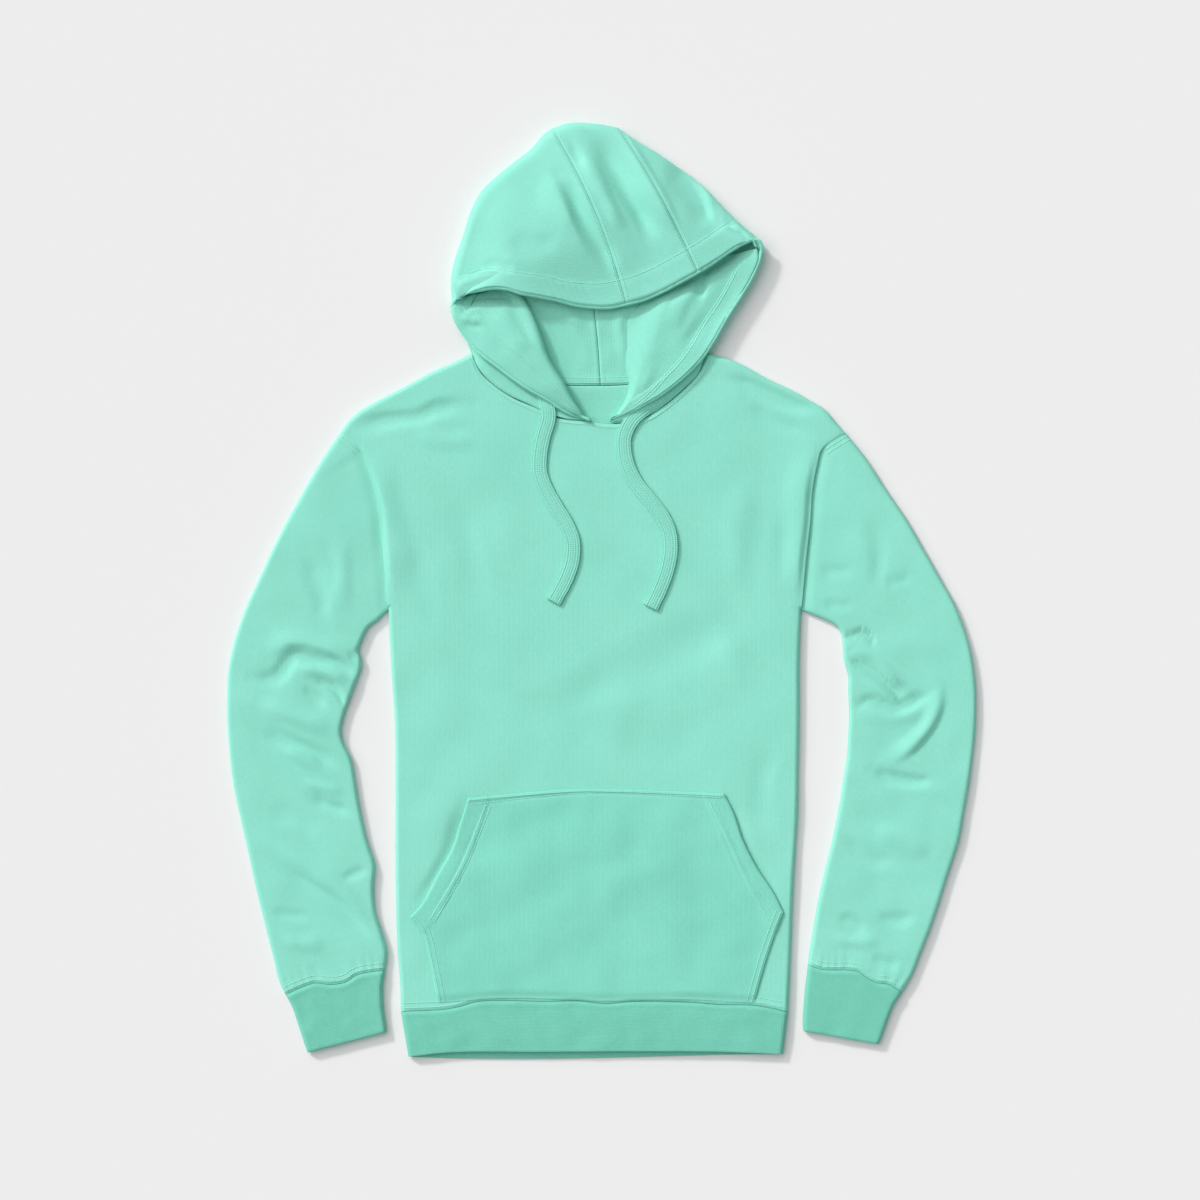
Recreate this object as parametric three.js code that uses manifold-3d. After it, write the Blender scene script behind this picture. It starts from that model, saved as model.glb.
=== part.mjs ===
// Pullover hoodie in fleece knit, laid flat on its back with the sleeves down beside the body.
// Millimetres. +Y runs up the garment to the hood, +Z up from the table, and the origin is at the
// middle of the garment's outline, on the table. Left and right are as seen from above.
import * as THREE from "three";
import { mergeVertices } from "three/addons/utils/BufferGeometryUtils.js";
import Module from "manifold-3d";

const wasm = await Module();
wasm.setup();

// Cloth thicknesses and the clearances between pieces
const FLEECE = 2.2;
const RIB = 2.6;
const SEAM_GAP = 0.5;
const LAY_GAP = 0.8;
const BACK_TOP = FLEECE;
const FRONT_FLOOR = BACK_TOP + 0.4;

// Resting heights of the upper layers, outer face above the table
const BODY_HEIGHT = 7.6;
const SLEEVE_HEIGHT = 7.4;
const BAND_HEIGHT = 7.6;
const LOWEST_TOP = 5.3;
const EDGE_HEIGHT = 5.0;
const UNDER_BODY = 0.6;
const TUBE_EDGE = 3.6;
const EDGE_ROUND = 10;

const MINT = 0x92e4d0;
const MINT_RIB = 0x78d2ba;

// Where points are taken across a sleeve, closer together at its two folded edges
const ACROSS = [0, 0.03, 0.09, 0.2, 0.32, 0.44, 0.56, 0.68, 0.8, 0.91, 0.97, 1];
const UNDER = [0.97, 0.72, 0.28, 0.03];

// Outline of the body, as [x, y] along each edge
const LEFT_SIDE = [
  [-200.5, -420], [-201.2, -392], [-204, -355], [-205.8, -281], [-205.8, -183],
  [-206.5, -130], [-209.5, -85], [-212, -40], [-213, -17],
];
const RIGHT_SIDE = [
  [186.2, -420], [188.8, -364], [191.9, -286.5], [195.5, -229], [196.5, -183],
  [197.5, -112], [197.3, -76], [199.5, -18],
];
const LEFT_ARMHOLE = [
  [-213, -17], [-217.5, 31], [-221.5, 75], [-226, 98.4], [-233.5, 122], [-240, 141],
  [-249.5, 150], [-260.5, 159],
];
const RIGHT_ARMHOLE = [
  [199.5, -18], [204.3, 31], [208.3, 68], [210.5, 99.5], [215.5, 127], [219.5, 141],
  [231, 149.5], [243.8, 157.5],
];
const LEFT_SHOULDER = [
  [-260.5, 159], [-252.5, 170], [-242.5, 179], [-227.5, 188], [-198.5, 203],
  [-168.8, 219], [-142.5, 230.5], [-130, 237],
];
const RIGHT_SHOULDER = [
  [107.5, 237], [134.2, 229], [166, 212], [191.5, 200], [210.5, 189], [223.5, 181],
  [234.5, 168], [243.8, 157.5],
];
const FRONT_NECK = [
  [-130, 237], [-121, 218], [-107.5, 205], [-87.5, 192], [-62.5, 181.5], [-45.5, 173],
  [-28.5, 170.5], [-11.5, 169], [5.5, 166.5], [22.5, 167.5], [43.5, 172.4], [59.5, 182],
  [80.5, 199], [97.5, 217], [107.5, 237],
];
const BACK_NECK = [
  [-130, 237], [-109.5, 226], [-79.5, 214], [-52.5, 207.4], [-34.5, 205.2], [0, 205],
  [31, 206.3], [54, 211], [79, 221.5], [107.5, 237],
];
const BAND_SEAM = [
  [-200.5, -420], [-151.5, -417], [-123.5, -410], [-95.5, -409], [-53.5, -410],
  [-25.5, -409], [3, -412], [31, -409.7], [87.5, -410.5], [120.5, -413], [154.5, -414],
  [186.2, -420],
];

// Sleeve sections from shoulder to cuff: the fold on the outer side, the fold on the inner side,
// and how far the section bows towards the body
const LEFT_SLEEVE = [
  { xo: -279.5, yo: 131, xi: -217.5, yi: -23, bow: 12 },
  { xo: -301.5, yo: 93, xi: -224.5, yi: -30, bow: 9 },
  { xo: -320.5, yo: 58, xi: -233.5, yi: -37, bow: 6 },
  { xo: -339.5, yo: 18, xi: -239.5, yi: -49, bow: 3 },
  { xo: -356.5, yo: -20, xi: -242.5, yi: -58, bow: 0 },
  { xo: -366.5, yo: -49, xi: -239.7, yi: -74, bow: 0 },
  { xo: -372.5, yo: -77, xi: -245, yi: -90, bow: 0 },
  { xo: -374, yo: -103, xi: -250.5, yi: -104.7, bow: 0 },
  { xo: -374, yo: -126, xi: -258.5, yi: -128, bow: 0 },
  { xo: -372.5, yo: -151, xi: -260.5, yi: -142, bow: 0 },
  { xo: -370.5, yo: -174, xi: -256, yi: -156, bow: 0 },
  { xo: -368, yo: -192, xi: -250.5, yi: -167, bow: 0 },
  { xo: -365, yo: -208, xi: -246.5, yi: -187, bow: 0 },
  { xo: -361.5, yo: -224, xi: -243.5, yi: -206.5, bow: 0 },
  { xo: -354.5, yo: -254, xi: -235.5, yi: -244.5, bow: 0 },
  { xo: -349.5, yo: -277, xi: -231, yi: -259, bow: 0 },
  { xo: -344.5, yo: -300, xi: -226.5, yi: -274, bow: 0 },
  { xo: -336.5, yo: -332, xi: -228, yi: -296, bow: 0 },
  { xo: -331.5, yo: -352, xi: -225.5, yi: -322, bow: 0 },
  { xo: -327, yo: -370, xi: -219, yi: -342, bow: 0 },
  { xo: -322.5, yo: -389, xi: -214.5, yi: -360, bow: 0 },
];
const RIGHT_SLEEVE = [
  { xo: 261.5, yo: 136, xi: 206.5, yi: -22, bow: 12 },
  { xo: 284.5, yo: 101, xi: 216.5, yi: -26, bow: 9 },
  { xo: 303.5, yo: 73, xi: 225.5, yi: -30, bow: 6 },
  { xo: 322.5, yo: 40, xi: 234.5, yi: -35, bow: 3 },
  { xo: 339.5, yo: 10, xi: 239.5, yi: -42, bow: 0 },
  { xo: 353.5, yo: -15, xi: 241, yi: -54, bow: 0 },
  { xo: 364.5, yo: -44, xi: 242.5, yi: -70, bow: 0 },
  { xo: 370.5, yo: -69, xi: 246.5, yi: -85, bow: 0 },
  { xo: 373.5, yo: -94, xi: 246.5, yi: -100, bow: 0 },
  { xo: 374, yo: -121, xi: 247.5, yi: -121, bow: 0 },
  { xo: 372.5, yo: -148, xi: 246.5, yi: -144, bow: 0 },
  { xo: 369.5, yo: -174, xi: 245, yi: -166, bow: 0 },
  { xo: 366, yo: -199, xi: 241.5, yi: -189, bow: 0 },
  { xo: 361.5, yo: -224, xi: 238, yi: -211, bow: 0 },
  { xo: 357, yo: -249, xi: 234.5, yi: -230, bow: 0 },
  { xo: 351.5, yo: -267, xi: 230.5, yi: -249, bow: 0 },
  { xo: 345.5, yo: -285, xi: 225.5, yi: -270, bow: 0 },
  { xo: 338, yo: -309, xi: 219.5, yi: -295, bow: 0 },
  { xo: 330, yo: -333, xi: 215.5, yi: -314, bow: 0 },
  { xo: 318, yo: -364, xi: 210, yi: -346, bow: 0 },
  { xo: 310.5, yo: -383, xi: 207.5, yi: -361, bow: 0 },
];

// Seams between sleeve and cuff, from the outer fold to the inner one
const LEFT_CUFF_SEAM = [
  [-315.8, -403.5], [-302, -397], [-285.5, -391.5], [-270.5, -393], [-255.5, -390.6],
  [-242.8, -383], [-216.5, -378.6],
];
const RIGHT_CUFF_SEAM = [
  [299.9, -401], [287, -393], [274.5, -391], [264.5, -386], [256, -380], [247.5, -378.6],
  [221.5, -378], [206.1, -373.5],
];
const LEFT_CUFF = [
  { xo: -311, yo: -411.5, xi: -217.7, yi: -387, bow: 0 },
  { xo: -307.5, yo: -420, xi: -218.8, yi: -396, bow: 0 },
  { xo: -301, yo: -440, xi: -218, yi: -416, bow: 0 },
  { xo: -296, yo: -455, xi: -215.5, yi: -434, bow: 0 },
  { xo: -293.9, yo: -461, xi: -214.8, yi: -440.5, bow: 0 },
];
const RIGHT_CUFF = [
  { xo: 296, yo: -407, xi: 205.2, yi: -382, bow: 0 },
  { xo: 292.5, yo: -412, xi: 204, yi: -391, bow: 0 },
  { xo: 287, yo: -425, xi: 202.5, yi: -407, bow: 0 },
  { xo: 280, yo: -445, xi: 201, yi: -431, bow: 0 },
  { xo: 276.8, yo: -452.5, xi: 201.6, yi: -439.5, bow: 0 },
];

// Hems of the waistband, front edge and the longer back edge
const FRONT_HEM = [
  [-193, -465], [-150, -460.5], [-60, -460], [40, -459.5], [120, -460], [181, -462.5],
];
const BACK_HEM = [
  [-193, -465.5], [-150, -466.8], [-60, -467.3], [40, -465.5], [120, -463.5], [181, -463],
];

// Edge of the pocket, from the waistband up both sides
const POCKET_LEFT = [[-163.5, -411], [-171, -373.5], [-179.5, -340], [-191.2, -325.2]];
const POCKET_LEFT_OPENING = [
  [-191.2, -325.2], [-179.5, -312], [-162.5, -281], [-148.5, -255.6], [-141.5, -233],
  [-133.1, -206],
];
const POCKET_RIGHT = [[152.5, -411], [162.9, -373.5], [174.2, -340], [181.7, -320.7]];
const POCKET_RIGHT_OPENING = [
  [181.7, -320.7], [171.5, -300.5], [154.5, -275], [140.5, -247], [132.1, -222],
  [122.2, -201.5],
];
const POCKET_TOP = [[-133.1, -206], [-27.9, -197.3], [3, -197.3], [122.2, -201.5]];
const POCKET_FOOT = [[-163.5, -411], [-95.5, -406], [3, -409], [87.5, -407.5], [152.5, -411]];

// Hood panels, one row for each line from the brim over the crown to the outer fold and back
// below to the neck: brim point and height, crown height, bow, outer fold, place on the back neck
const HOOD_LEFT = [
  { bx: -138, by: 293, bz: 19, crown: 20, bow: 0, ox: -149.3, oy: 292, neck: 0 },
  { bx: -128, by: 297.5, bz: 25, crown: 26, bow: 0, ox: -150.3, oy: 308, neck: 0.045 },
  { bx: -113, by: 301.5, bz: 28, crown: 29, bow: 0, ox: -147.5, oy: 327, neck: 0.09 },
  { bx: -97, by: 301.5, bz: 28, crown: 30, bow: 0, ox: -138, oy: 355, neck: 0.135 },
  { bx: -80, by: 297, bz: 26, crown: 30, bow: 0, ox: -130, oy: 380, neck: 0.18 },
  { bx: -63, by: 294, bz: 23, crown: 30, bow: 1, ox: -119, oy: 400, neck: 0.225 },
  { bx: -44, by: 290.5, bz: 19, crown: 29, bow: 2, ox: -102, oy: 416, neck: 0.265 },
  { bx: -26, by: 286, bz: 16, crown: 28, bow: 3, ox: -86, oy: 429, neck: 0.3 },
  { bx: -8, by: 283.8, bz: 14, crown: 27, bow: 4, ox: -70, oy: 441.5, neck: 0.335 },
  { bx: 9, by: 283.8, bz: 13.5, crown: 26, bow: 5.5, ox: -58.5, oy: 455, neck: 0.365 },
  { bx: 24.5, by: 287, bz: 14, crown: 25, bow: 7, ox: -50, oy: 461.3, neck: 0.395 },
];
const HOOD_CENTRE = [
  { bx: 24.5, by: 287, bz: 14, crown: 25, bow: 7, ox: -50, oy: 461.3, neck: 0.395 },
  { bx: 42, by: 291.5, bz: 15, crown: 24, bow: 6, ox: -35, oy: 466.5, neck: 0.455 },
  { bx: 60, by: 299, bz: 17, crown: 22, bow: 5, ox: -18, oy: 467.3, neck: 0.52 },
  { bx: 78, by: 308.5, bz: 19, crown: 23, bow: 4, ox: 0, oy: 465.5, neck: 0.585 },
  { bx: 95.5, by: 318, bz: 21, crown: 25, bow: 3, ox: 16.5, oy: 462.3, neck: 0.645 },
];
const HOOD_RIGHT = [
  { bx: 95.5, by: 318, bz: 21, crown: 25, bow: 3, ox: 16.5, oy: 462.3, neck: 0.645 },
  { bx: 103, by: 322.5, bz: 22, crown: 25, bow: 2, ox: 33, oy: 450.7, neck: 0.68 },
  { bx: 110, by: 327, bz: 23, crown: 25, bow: 1, ox: 53, oy: 438.7, neck: 0.715 },
  { bx: 117.5, by: 332, bz: 24, crown: 25, bow: 0, ox: 72, oy: 426, neck: 0.75 },
  { bx: 125, by: 337.5, bz: 24, crown: 25, bow: 0, ox: 88, oy: 415, neck: 0.785 },
  { bx: 132, by: 342.3, bz: 24, crown: 24, bow: 0, ox: 104, oy: 401.5, neck: 0.82 },
  { bx: 139, by: 346, bz: 23, crown: 23, bow: 0, ox: 122.5, oy: 382, neck: 0.86 },
  { bx: 145, by: 347.6, bz: 21, crown: 21, bow: 0, ox: 139, oy: 366, neck: 0.9 },
  { bx: 150, by: 347.2, bz: 19, crown: 19, bow: 0, ox: 154, oy: 353, neck: 0.94 },
  { bx: 152, by: 343.5, bz: 17, crown: 17, bow: 0, ox: 159.6, oy: 341, neck: 1 },
];
const HOOD_EDGE = { middle: 7, rise: 8, round: 10, swell: 60 };
const HOOD_OVER = [1, 0.86, 0.7, 0.52, 0.35];
const HOOD_AT_FOLD = [18, 9, 3];
const HOOD_UNDER = [0.35, 0.7, 1];
const SHORT_SECTION = 64;
const BRIM_SHARE = 0.45;
const UNDER_TURN = { reach: 3, height: 1.5, end: 9 };
const HOOD_SEAM_SHIFT = 0.55;
const ROLL_GAP = 0.9;
const NEARLY_LEVEL = 0.6;
const BEND_REACH = 0.3;

// Rolled front edges of the hood, from under the brim down to the centre front: the free edge,
// the crest of the roll, and where the lower layer ends, on the outline or in the neck seam
const LEFT_ROLL = [
  { ex: -141, ey: 292, ez: 13, fx: -92, fy: 306, fz: 16, nx: -144, ny: 289, nz: 0 },
  { ex: -147, ey: 281, ez: 14, fx: -80.5, fy: 296, fz: 17, nx: -145, ny: 276, nz: 0 },
  { ex: -144.5, ey: 266, ez: 14, fx: -71, fy: 282, fz: 18, nx: -140, ny: 262, nz: 0 },
  { ex: -134.5, ey: 252, ez: 15, fx: -64.5, fy: 267, fz: 18, nx: -132, ny: 249, nz: 0 },
  { ex: -120.5, ey: 238, ez: 16, fx: -59, fy: 252, fz: 19, neck: 0.05, nz: 4.6 },
  { ex: -104.5, ey: 226, ez: 17, fx: -53.5, fy: 235, fz: 19, neck: 0.13, nz: 5 },
  { ex: -87.5, ey: 213, ez: 17, fx: -45.5, fy: 220, fz: 19, neck: 0.2, nz: 5 },
  { ex: -70.5, ey: 201.5, ez: 17, fx: -36.5, fy: 206.5, fz: 19, neck: 0.27, nz: 5 },
  { ex: -53.5, ey: 192, ez: 16, fx: -28.5, fy: 191, fz: 18, neck: 0.34, nz: 5 },
  { ex: -38.5, ey: 182, ez: 14.5, fx: -20.5, fy: 179, fz: 16, neck: 0.41, nz: 5 },
  { ex: -23.5, ey: 175, ez: 13, fx: -12, fy: 172.5, fz: 13.5, neck: 0.46, nz: 5 },
];
const RIGHT_ROLL = [
  { ex: 152, ey: 339, ez: 13, fx: 100, fy: 330, fz: 15, nx: 154, ny: 342, nz: 0 },
  { ex: 155, ey: 327, ez: 14, fx: 76, fy: 306, fz: 15, nx: 152, ny: 323, nz: 0 },
  { ex: 147.5, ey: 311, ez: 14, fx: 62, fy: 288, fz: 14, nx: 143.5, ny: 308, nz: 0 },
  { ex: 137.5, ey: 294, ez: 15, fx: 54, fy: 270, fz: 13, nx: 133.5, ny: 291, nz: 0 },
  { ex: 123.5, ey: 272, ez: 16, fx: 48, fy: 252, fz: 13, nx: 120, ny: 269, nz: 0 },
  { ex: 111.5, ey: 251, ez: 17, fx: 43.5, fy: 234, fz: 13, nx: 108, ny: 251, nz: 0 },
  { ex: 98.5, ey: 232, ez: 18, fx: 38.5, fy: 219, fz: 13.5, neck: 0.935, nz: 4.6 },
  { ex: 81.5, ey: 214.5, ez: 19, fx: 33.5, fy: 206, fz: 14, neck: 0.86, nz: 5 },
  { ex: 61.5, ey: 198.5, ez: 19, fx: 27.5, fy: 195, fz: 15, neck: 0.78, nz: 5 },
  { ex: 41.5, ey: 186.5, ez: 18, fx: 19, fy: 184, fz: 15, neck: 0.7, nz: 5 },
  { ex: 20, ey: 175, ez: 14, fx: 9, fy: 172, fz: 13.5, neck: 0.6, nz: 5 },
];
const ROLL_UNDER = 5.4;

// Lining halves lie on the back of the hood; edges as [x, y] from the back neck upwards
const LINING_SEAM = [[-1, 205.6], [-4, 250], [-7.5, 283], [-9, 330], [-10, 400]];
const LINING_LEFT_EDGE = [[-88, 219.5], [-110, 262], [-120, 310], [-104, 360], [-70, 400]];
const LINING_RIGHT_EDGE = [[72, 219.5], [95, 262], [112, 310], [96, 352], [60, 400]];
const LINING_TOP_HEIGHT = 4.9;
const LINING_NECK_GAP = 0.6;
const NECK_SEARCH_STEPS = 200;

// Middle lines of the two free ends of the drawcord, from the hood down the front
const LEFT_CORD = [
  [-57.5, 198], [-55.5, 190], [-53, 174], [-58.5, 153.5], [-61.8, 134], [-61.5, 117.5],
  [-55, 100], [-44.5, 82], [-34.5, 65], [-29, 49.5], [-29.5, 31], [-35.8, 12], [-48, -11],
];
const RIGHT_CORD = [
  [52, 194], [46.3, 185], [31.4, 172], [23, 156], [22, 143], [25.5, 125.5], [33.8, 108.4],
  [48.3, 90], [59.8, 75], [66.7, 59.5], [68.5, 43], [65.3, 22.5], [57.5, 1], [49, -16.7],
];
const CORD = { width: 15, thick: 3, bevel: 1, steps: 34 };
const NECK_NEAR = 6;

// Largest folds: height of the ridge, or depth where negative, its reach to the left and right of
// its line, and the line
const BODY_FOLDS = [
  {
    rise: 3, left: 9, right: 24,
    line: [[-206, -10], [-211, 35], [-215, 78], [-220, 100], [-228, 124], [-235, 141]],
  },
  {
    rise: 3, left: 24, right: 9,
    line: [[192, -12], [197, 33], [201, 70], [203, 100], [208, 127], [213, 142]],
  },
  {
    rise: -2, left: 16, right: 18,
    line: [[-251, 167], [-227, 173], [-205, 176], [-183, 179], [-168, 186], [-132, 189]],
  },
  {
    rise: -2, left: 14, right: 16,
    line: [[115, 219], [134, 213], [158, 202], [178, 194], [197, 187], [217, 184]],
  },
  { rise: -1.6, left: 40, right: 40, line: [[10, -165], [60, -150], [110, -148]] },
  { rise: 1.6, left: 42, right: 42, line: [[-180, -260], [-150, -215], [-110, -150]] },
  { rise: 1.4, left: 40, right: 40, line: [[-70, -330], [30, -290], [110, -250]] },
];
const LEFT_SLEEVE_FOLDS = [
  { rise: 3.2, left: 16, right: 14, line: [[-335, -60], [-300, -45], [-270, -50], [-246, -62]] },
  { rise: -3, left: 10, right: 10, line: [[-350, -83], [-323, -83], [-306, -64], [-284, -65], [-252, -76]] },
  { rise: 3, left: 9, right: 9, line: [[-300, -80], [-275, -78], [-254, -87]] },
  { rise: -2, left: 8, right: 8, line: [[-288, -90], [-273, -90], [-263, -98], [-256, -113]] },
  { rise: 3.6, left: 13, right: 13, line: [[-340, -110], [-312, -121], [-286, -133], [-266, -138]] },
  { rise: -3, left: 12, right: 12, line: [[-343, -130], [-320, -140], [-302, -146], [-272, -161]] },
  {
    rise: 3, left: 15, right: 13,
    line: [[-330, -245], [-300, -266], [-275, -285], [-250, -308], [-230, -332]],
  },
  {
    rise: -2.4, left: 11, right: 11,
    line: [[-335, -263], [-307, -281], [-285, -296], [-266, -309], [-240, -340]],
  },
];
const RIGHT_SLEEVE_FOLDS = [
  { rise: 3.4, left: 12, right: 13, line: [[250, -56], [275, -68], [297, -86], [314, -100]] },
  { rise: -2.6, left: 10, right: 10, line: [[247, -70], [267, -83], [285, -97], [302, -109]] },
  { rise: 3.6, left: 12, right: 14, line: [[252, -128], [275, -126], [300, -128], [322, -118]] },
  { rise: 3.4, left: 14, right: 12, line: [[343, -90], [342, -115], [333, -135], [321, -149], [298, -165]] },
  { rise: -2.6, left: 10, right: 10, line: [[270, -174], [286, -180], [304, -182], [334, -183]] },
  { rise: 2, left: 20, right: 20, line: [[270, -235], [300, -250], [330, -262]] },
];
const HOOD_FOLDS = [
  { rise: -3.5, left: 13, right: 12, line: [[-37, 400], [-24, 375], [-12, 354], [-2, 332]] },
  { rise: -4, left: 18, right: 18, line: [[-6, 446], [6, 438], [20, 417], [32, 395], [47, 372], [62, 343]] },
  { rise: 2.5, left: 15, right: 15, line: [[-8, 430], [4, 402], [22, 372], [40, 340]] },
  { rise: -2, left: 14, right: 14, line: [[60, 430], [77, 407], [92, 372], [96, 350]] },
  { rise: 3, left: 40, right: 40, line: [[-120, 345], [-95, 375], [-70, 400]] },
];

// Curve through a row of [x, y] points, read by its share of the length
function edgeCurve(points) {
  const corners = points.map(([x, y]) => new THREE.Vector3(x, y, 0));
  return new THREE.CatmullRomCurve3(corners, false, "centripetal");
}

function sample(points, shares) {
  const curve = edgeCurve(points);
  return shares.map((share) => curve.getPointAt(share));
}

function evenly(count) {
  return Array.from({ length: count + 1 }, (_, i) => i / count);
}

// Points of an edge moved sideways by a distance, positive to the left of its run
function offsetEdge(points, distance) {
  return points.map((point, i) => {
    const before = points[Math.max(i - 1, 0)];
    const after = points[Math.min(i + 1, points.length - 1)];
    const run = after.clone().sub(before).normalize();
    return point.clone().add(new THREE.Vector3(-run.y, run.x, 0).multiplyScalar(distance));
  });
}

function mix(a, b, share) {
  return a + (b - a) * share;
}

function smooth(value) {
  const t = Math.min(Math.max(value, 0), 1);
  return t * t * (3 - 2 * t);
}

// Quarter round that climbs from 0 at an edge to 1 at the given radius
function quarterRound(distance, radius) {
  const t = 1 - Math.min(Math.max(distance / radius, 0), 1);
  return Math.sqrt(1 - t * t);
}

// Height that the folds add at a place: each is a cosine ridge along its line, faded at both ends
function foldHeight(folds, x, y) {
  let height = 0;
  for (const fold of folds) {
    let nearest = Infinity;
    let side = 1;
    let travelled = 0;
    let along = 0;
    fold.line.slice(1).forEach(([bx, by], i) => {
      const [ax, ay] = fold.line[i];
      const length = Math.hypot(bx - ax, by - ay);
      const ux = (bx - ax) / length;
      const uy = (by - ay) / length;
      const t = Math.min(Math.max((x - ax) * ux + (y - ay) * uy, 0), length);
      const distance = Math.hypot(x - ax - ux * t, y - ay - uy * t);
      if (distance < nearest) {
        nearest = distance;
        side = ux * (y - ay) - uy * (x - ax) > 0 ? 1 : -1;
        along = travelled + t;
      }
      travelled += length;
    });
    const reach = side > 0 ? fold.left : fold.right;
    if (nearest < reach) {
      const ends = Math.min(along, travelled - along) / (0.25 * travelled);
      const ridge = 0.5 * (1 + Math.cos((Math.PI * nearest) / reach));
      height += fold.rise * ridge * mix(0.3, 1, smooth(ends));
    }
  }
  return height;
}

// Mesh geometry of a closed surface from its corner points and triangles, turned to face outwards
function closedGeometry(corners, triangles) {
  let volume = 0;
  for (const [a, b, c] of triangles) volume += corners[a].dot(corners[b].clone().cross(corners[c]));
  const facing = volume > 0 ? triangles : triangles.map(([a, b, c]) => [a, c, b]);
  const geometry = new THREE.BufferGeometry();
  const places = corners.flatMap((corner) => corner.toArray());
  geometry.setAttribute("position", new THREE.Float32BufferAttribute(places, 3));
  geometry.setIndex(facing.flat());
  geometry.computeVertexNormals();
  return geometry;
}

// Cloth wall: rows of points on its outer face, and the same points one thickness further in.
// A wall with closed rows is a tube. Its rims stand upright over its edges, so that pieces which
// meet at a seam keep their gap.
function clothWall(rows, thickness, { tube = false, inward = 1, floor = -Infinity } = {}) {
  const last = rows.length - 1;
  const count = rows[0].length;
  const pick = (i, k) => rows[i][tube ? (k + count) % count : Math.min(Math.max(k, 0), count - 1)];
  const flatten = (normal, rim, crossing) => {
    if (Math.abs(normal.z) > NEARLY_LEVEL) normal.set(0, 0, Math.sign(normal.z));
    const steep = Math.hypot(rim.x, rim.y) < 0.3 * rim.length();
    const level = new THREE.Vector3(rim.y, -rim.x, 0);
    if (steep) level.set(crossing.x, crossing.y, 0);
    if (level.length() > 0) normal.addScaledVector(level.normalize(), -normal.dot(level));
  };
  const inner = rows.map((row, i) =>
    row.map((point, k) => {
      const along = pick(Math.min(i + 1, last), k).clone().sub(pick(Math.max(i - 1, 0), k));
      const across = pick(i, k + 1).clone().sub(pick(i, k - 1));
      const normal = new THREE.Vector3().crossVectors(along, across).normalize();
      if (i === 0 || i === last) flatten(normal, across, along);
      if (!tube && (k === 0 || k === count - 1)) flatten(normal, along, across);
      const moved = point.clone().addScaledVector(normal.normalize(), inward * thickness);
      moved.z = Math.max(moved.z, floor);
      return moved;
    }),
  );
  const corners = [...rows.flat(), ...inner.flat()];
  const shift = rows.length * count;
  const triangles = [];
  const quad = (a, b, c, d) => triangles.push([a, b, c], [a, c, d]);
  const columns = tube ? count : count - 1;
  for (let i = 0; i < last; i++) {
    for (let k = 0; k < columns; k++) {
      const next = (k + 1) % count;
      const [a, b, c, d] = [i * count + k, i * count + next, (i + 1) * count + next, (i + 1) * count + k];
      quad(a, b, c, d);
      quad(shift + d, shift + c, shift + b, shift + a);
    }
  }
  for (let k = 0; k < columns; k++) {
    const next = (k + 1) % count;
    const top = last * count;
    quad(next, k, shift + k, shift + next);
    quad(top + k, top + next, shift + top + next, shift + top + k);
  }
  for (let i = 0; i < last && !tube; i++) {
    const [a, b] = [i * count, (i + 1) * count];
    const [c, d] = [a + count - 1, b + count - 1];
    quad(a, b, shift + b, shift + a);
    quad(d, c, shift + c, shift + d);
  }
  return closedGeometry(corners, triangles);
}

// One closed piece from two that overlap, as where a rolled edge grows out of its panel
function joined(first, second) {
  const solidOf = (geometry) => {
    const bare = geometry.clone();
    bare.deleteAttribute("normal");
    const merged = mergeVertices(bare, 1e-3);
    const vertProperties = new Float32Array(merged.attributes.position.array);
    const triVerts = new Uint32Array(merged.index.array);
    return new wasm.Manifold(new wasm.Mesh({ numProp: 3, vertProperties, triVerts }));
  };
  const mesh = solidOf(first).add(solidOf(second)).getMesh();
  const geometry = new THREE.BufferGeometry();
  geometry.setAttribute("position", new THREE.Float32BufferAttribute(mesh.vertProperties, 3));
  geometry.setIndex([...mesh.triVerts]);
  geometry.computeVertexNormals();
  return geometry;
}

// Grid between four edges that share their corners: straight from the bottom edge to the top one,
// with the bends of the side edges fading out towards the middle
function patch(left, right, bottom, top) {
  const last = left.length - 1;
  const width = right[0].x - left[0].x;
  const height = left[last].y - left[0].y;
  return left.map((_, j) => {
    const v = (left[j].y - left[0].y) / height;
    const bend = (edge) => edge[j].clone().sub(edge[0].clone().lerp(edge[last], v));
    return bottom.map((foot, i) => {
      const u = (foot.x - bottom[0].x) / width;
      return foot
        .clone()
        .lerp(top[i], v)
        .addScaledVector(bend(left), smooth(1 - u / BEND_REACH))
        .addScaledVector(bend(right), smooth(1 - (1 - u) / BEND_REACH));
    });
  });
}

// The body's edges, sampled once so that front, back, sleeves and band share their points
const SIDE_SHARES = [0, 0.015, 0.04, 0.12, 0.21, 0.31, 0.41, 0.51, 0.61, 0.71, 0.81, 0.91, 1];
const SHOULDER_SHARES = [0, 0.04, 0.11, 0.27, 0.48, 0.73, 1];
const rollShares = [...LEFT_ROLL, ...RIGHT_ROLL.slice().reverse()].map((row) => row.neck);
const NECK_SHARES = [0, ...rollShares.filter((share) => share !== undefined), 1];
const armhole = { left: sample(LEFT_ARMHOLE, ACROSS), right: sample(RIGHT_ARMHOLE, ACROSS) };
const leftEdge = [...sample(LEFT_SIDE, SIDE_SHARES), ...armhole.left.slice(1)];
const rightEdge = [...sample(RIGHT_SIDE, SIDE_SHARES), ...armhole.right.slice(1)];
const leftShoulder = sample(LEFT_SHOULDER, SHOULDER_SHARES);
const rightShoulder = sample(RIGHT_SHOULDER, SHOULDER_SHARES.map((share) => 1 - share).reverse());
const frontNeck = sample(FRONT_NECK, NECK_SHARES);
const topEdge = [...leftShoulder, ...frontNeck.slice(1, -1), ...rightShoulder];
const topWidth = topEdge[topEdge.length - 1].x - topEdge[0].x;
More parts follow.
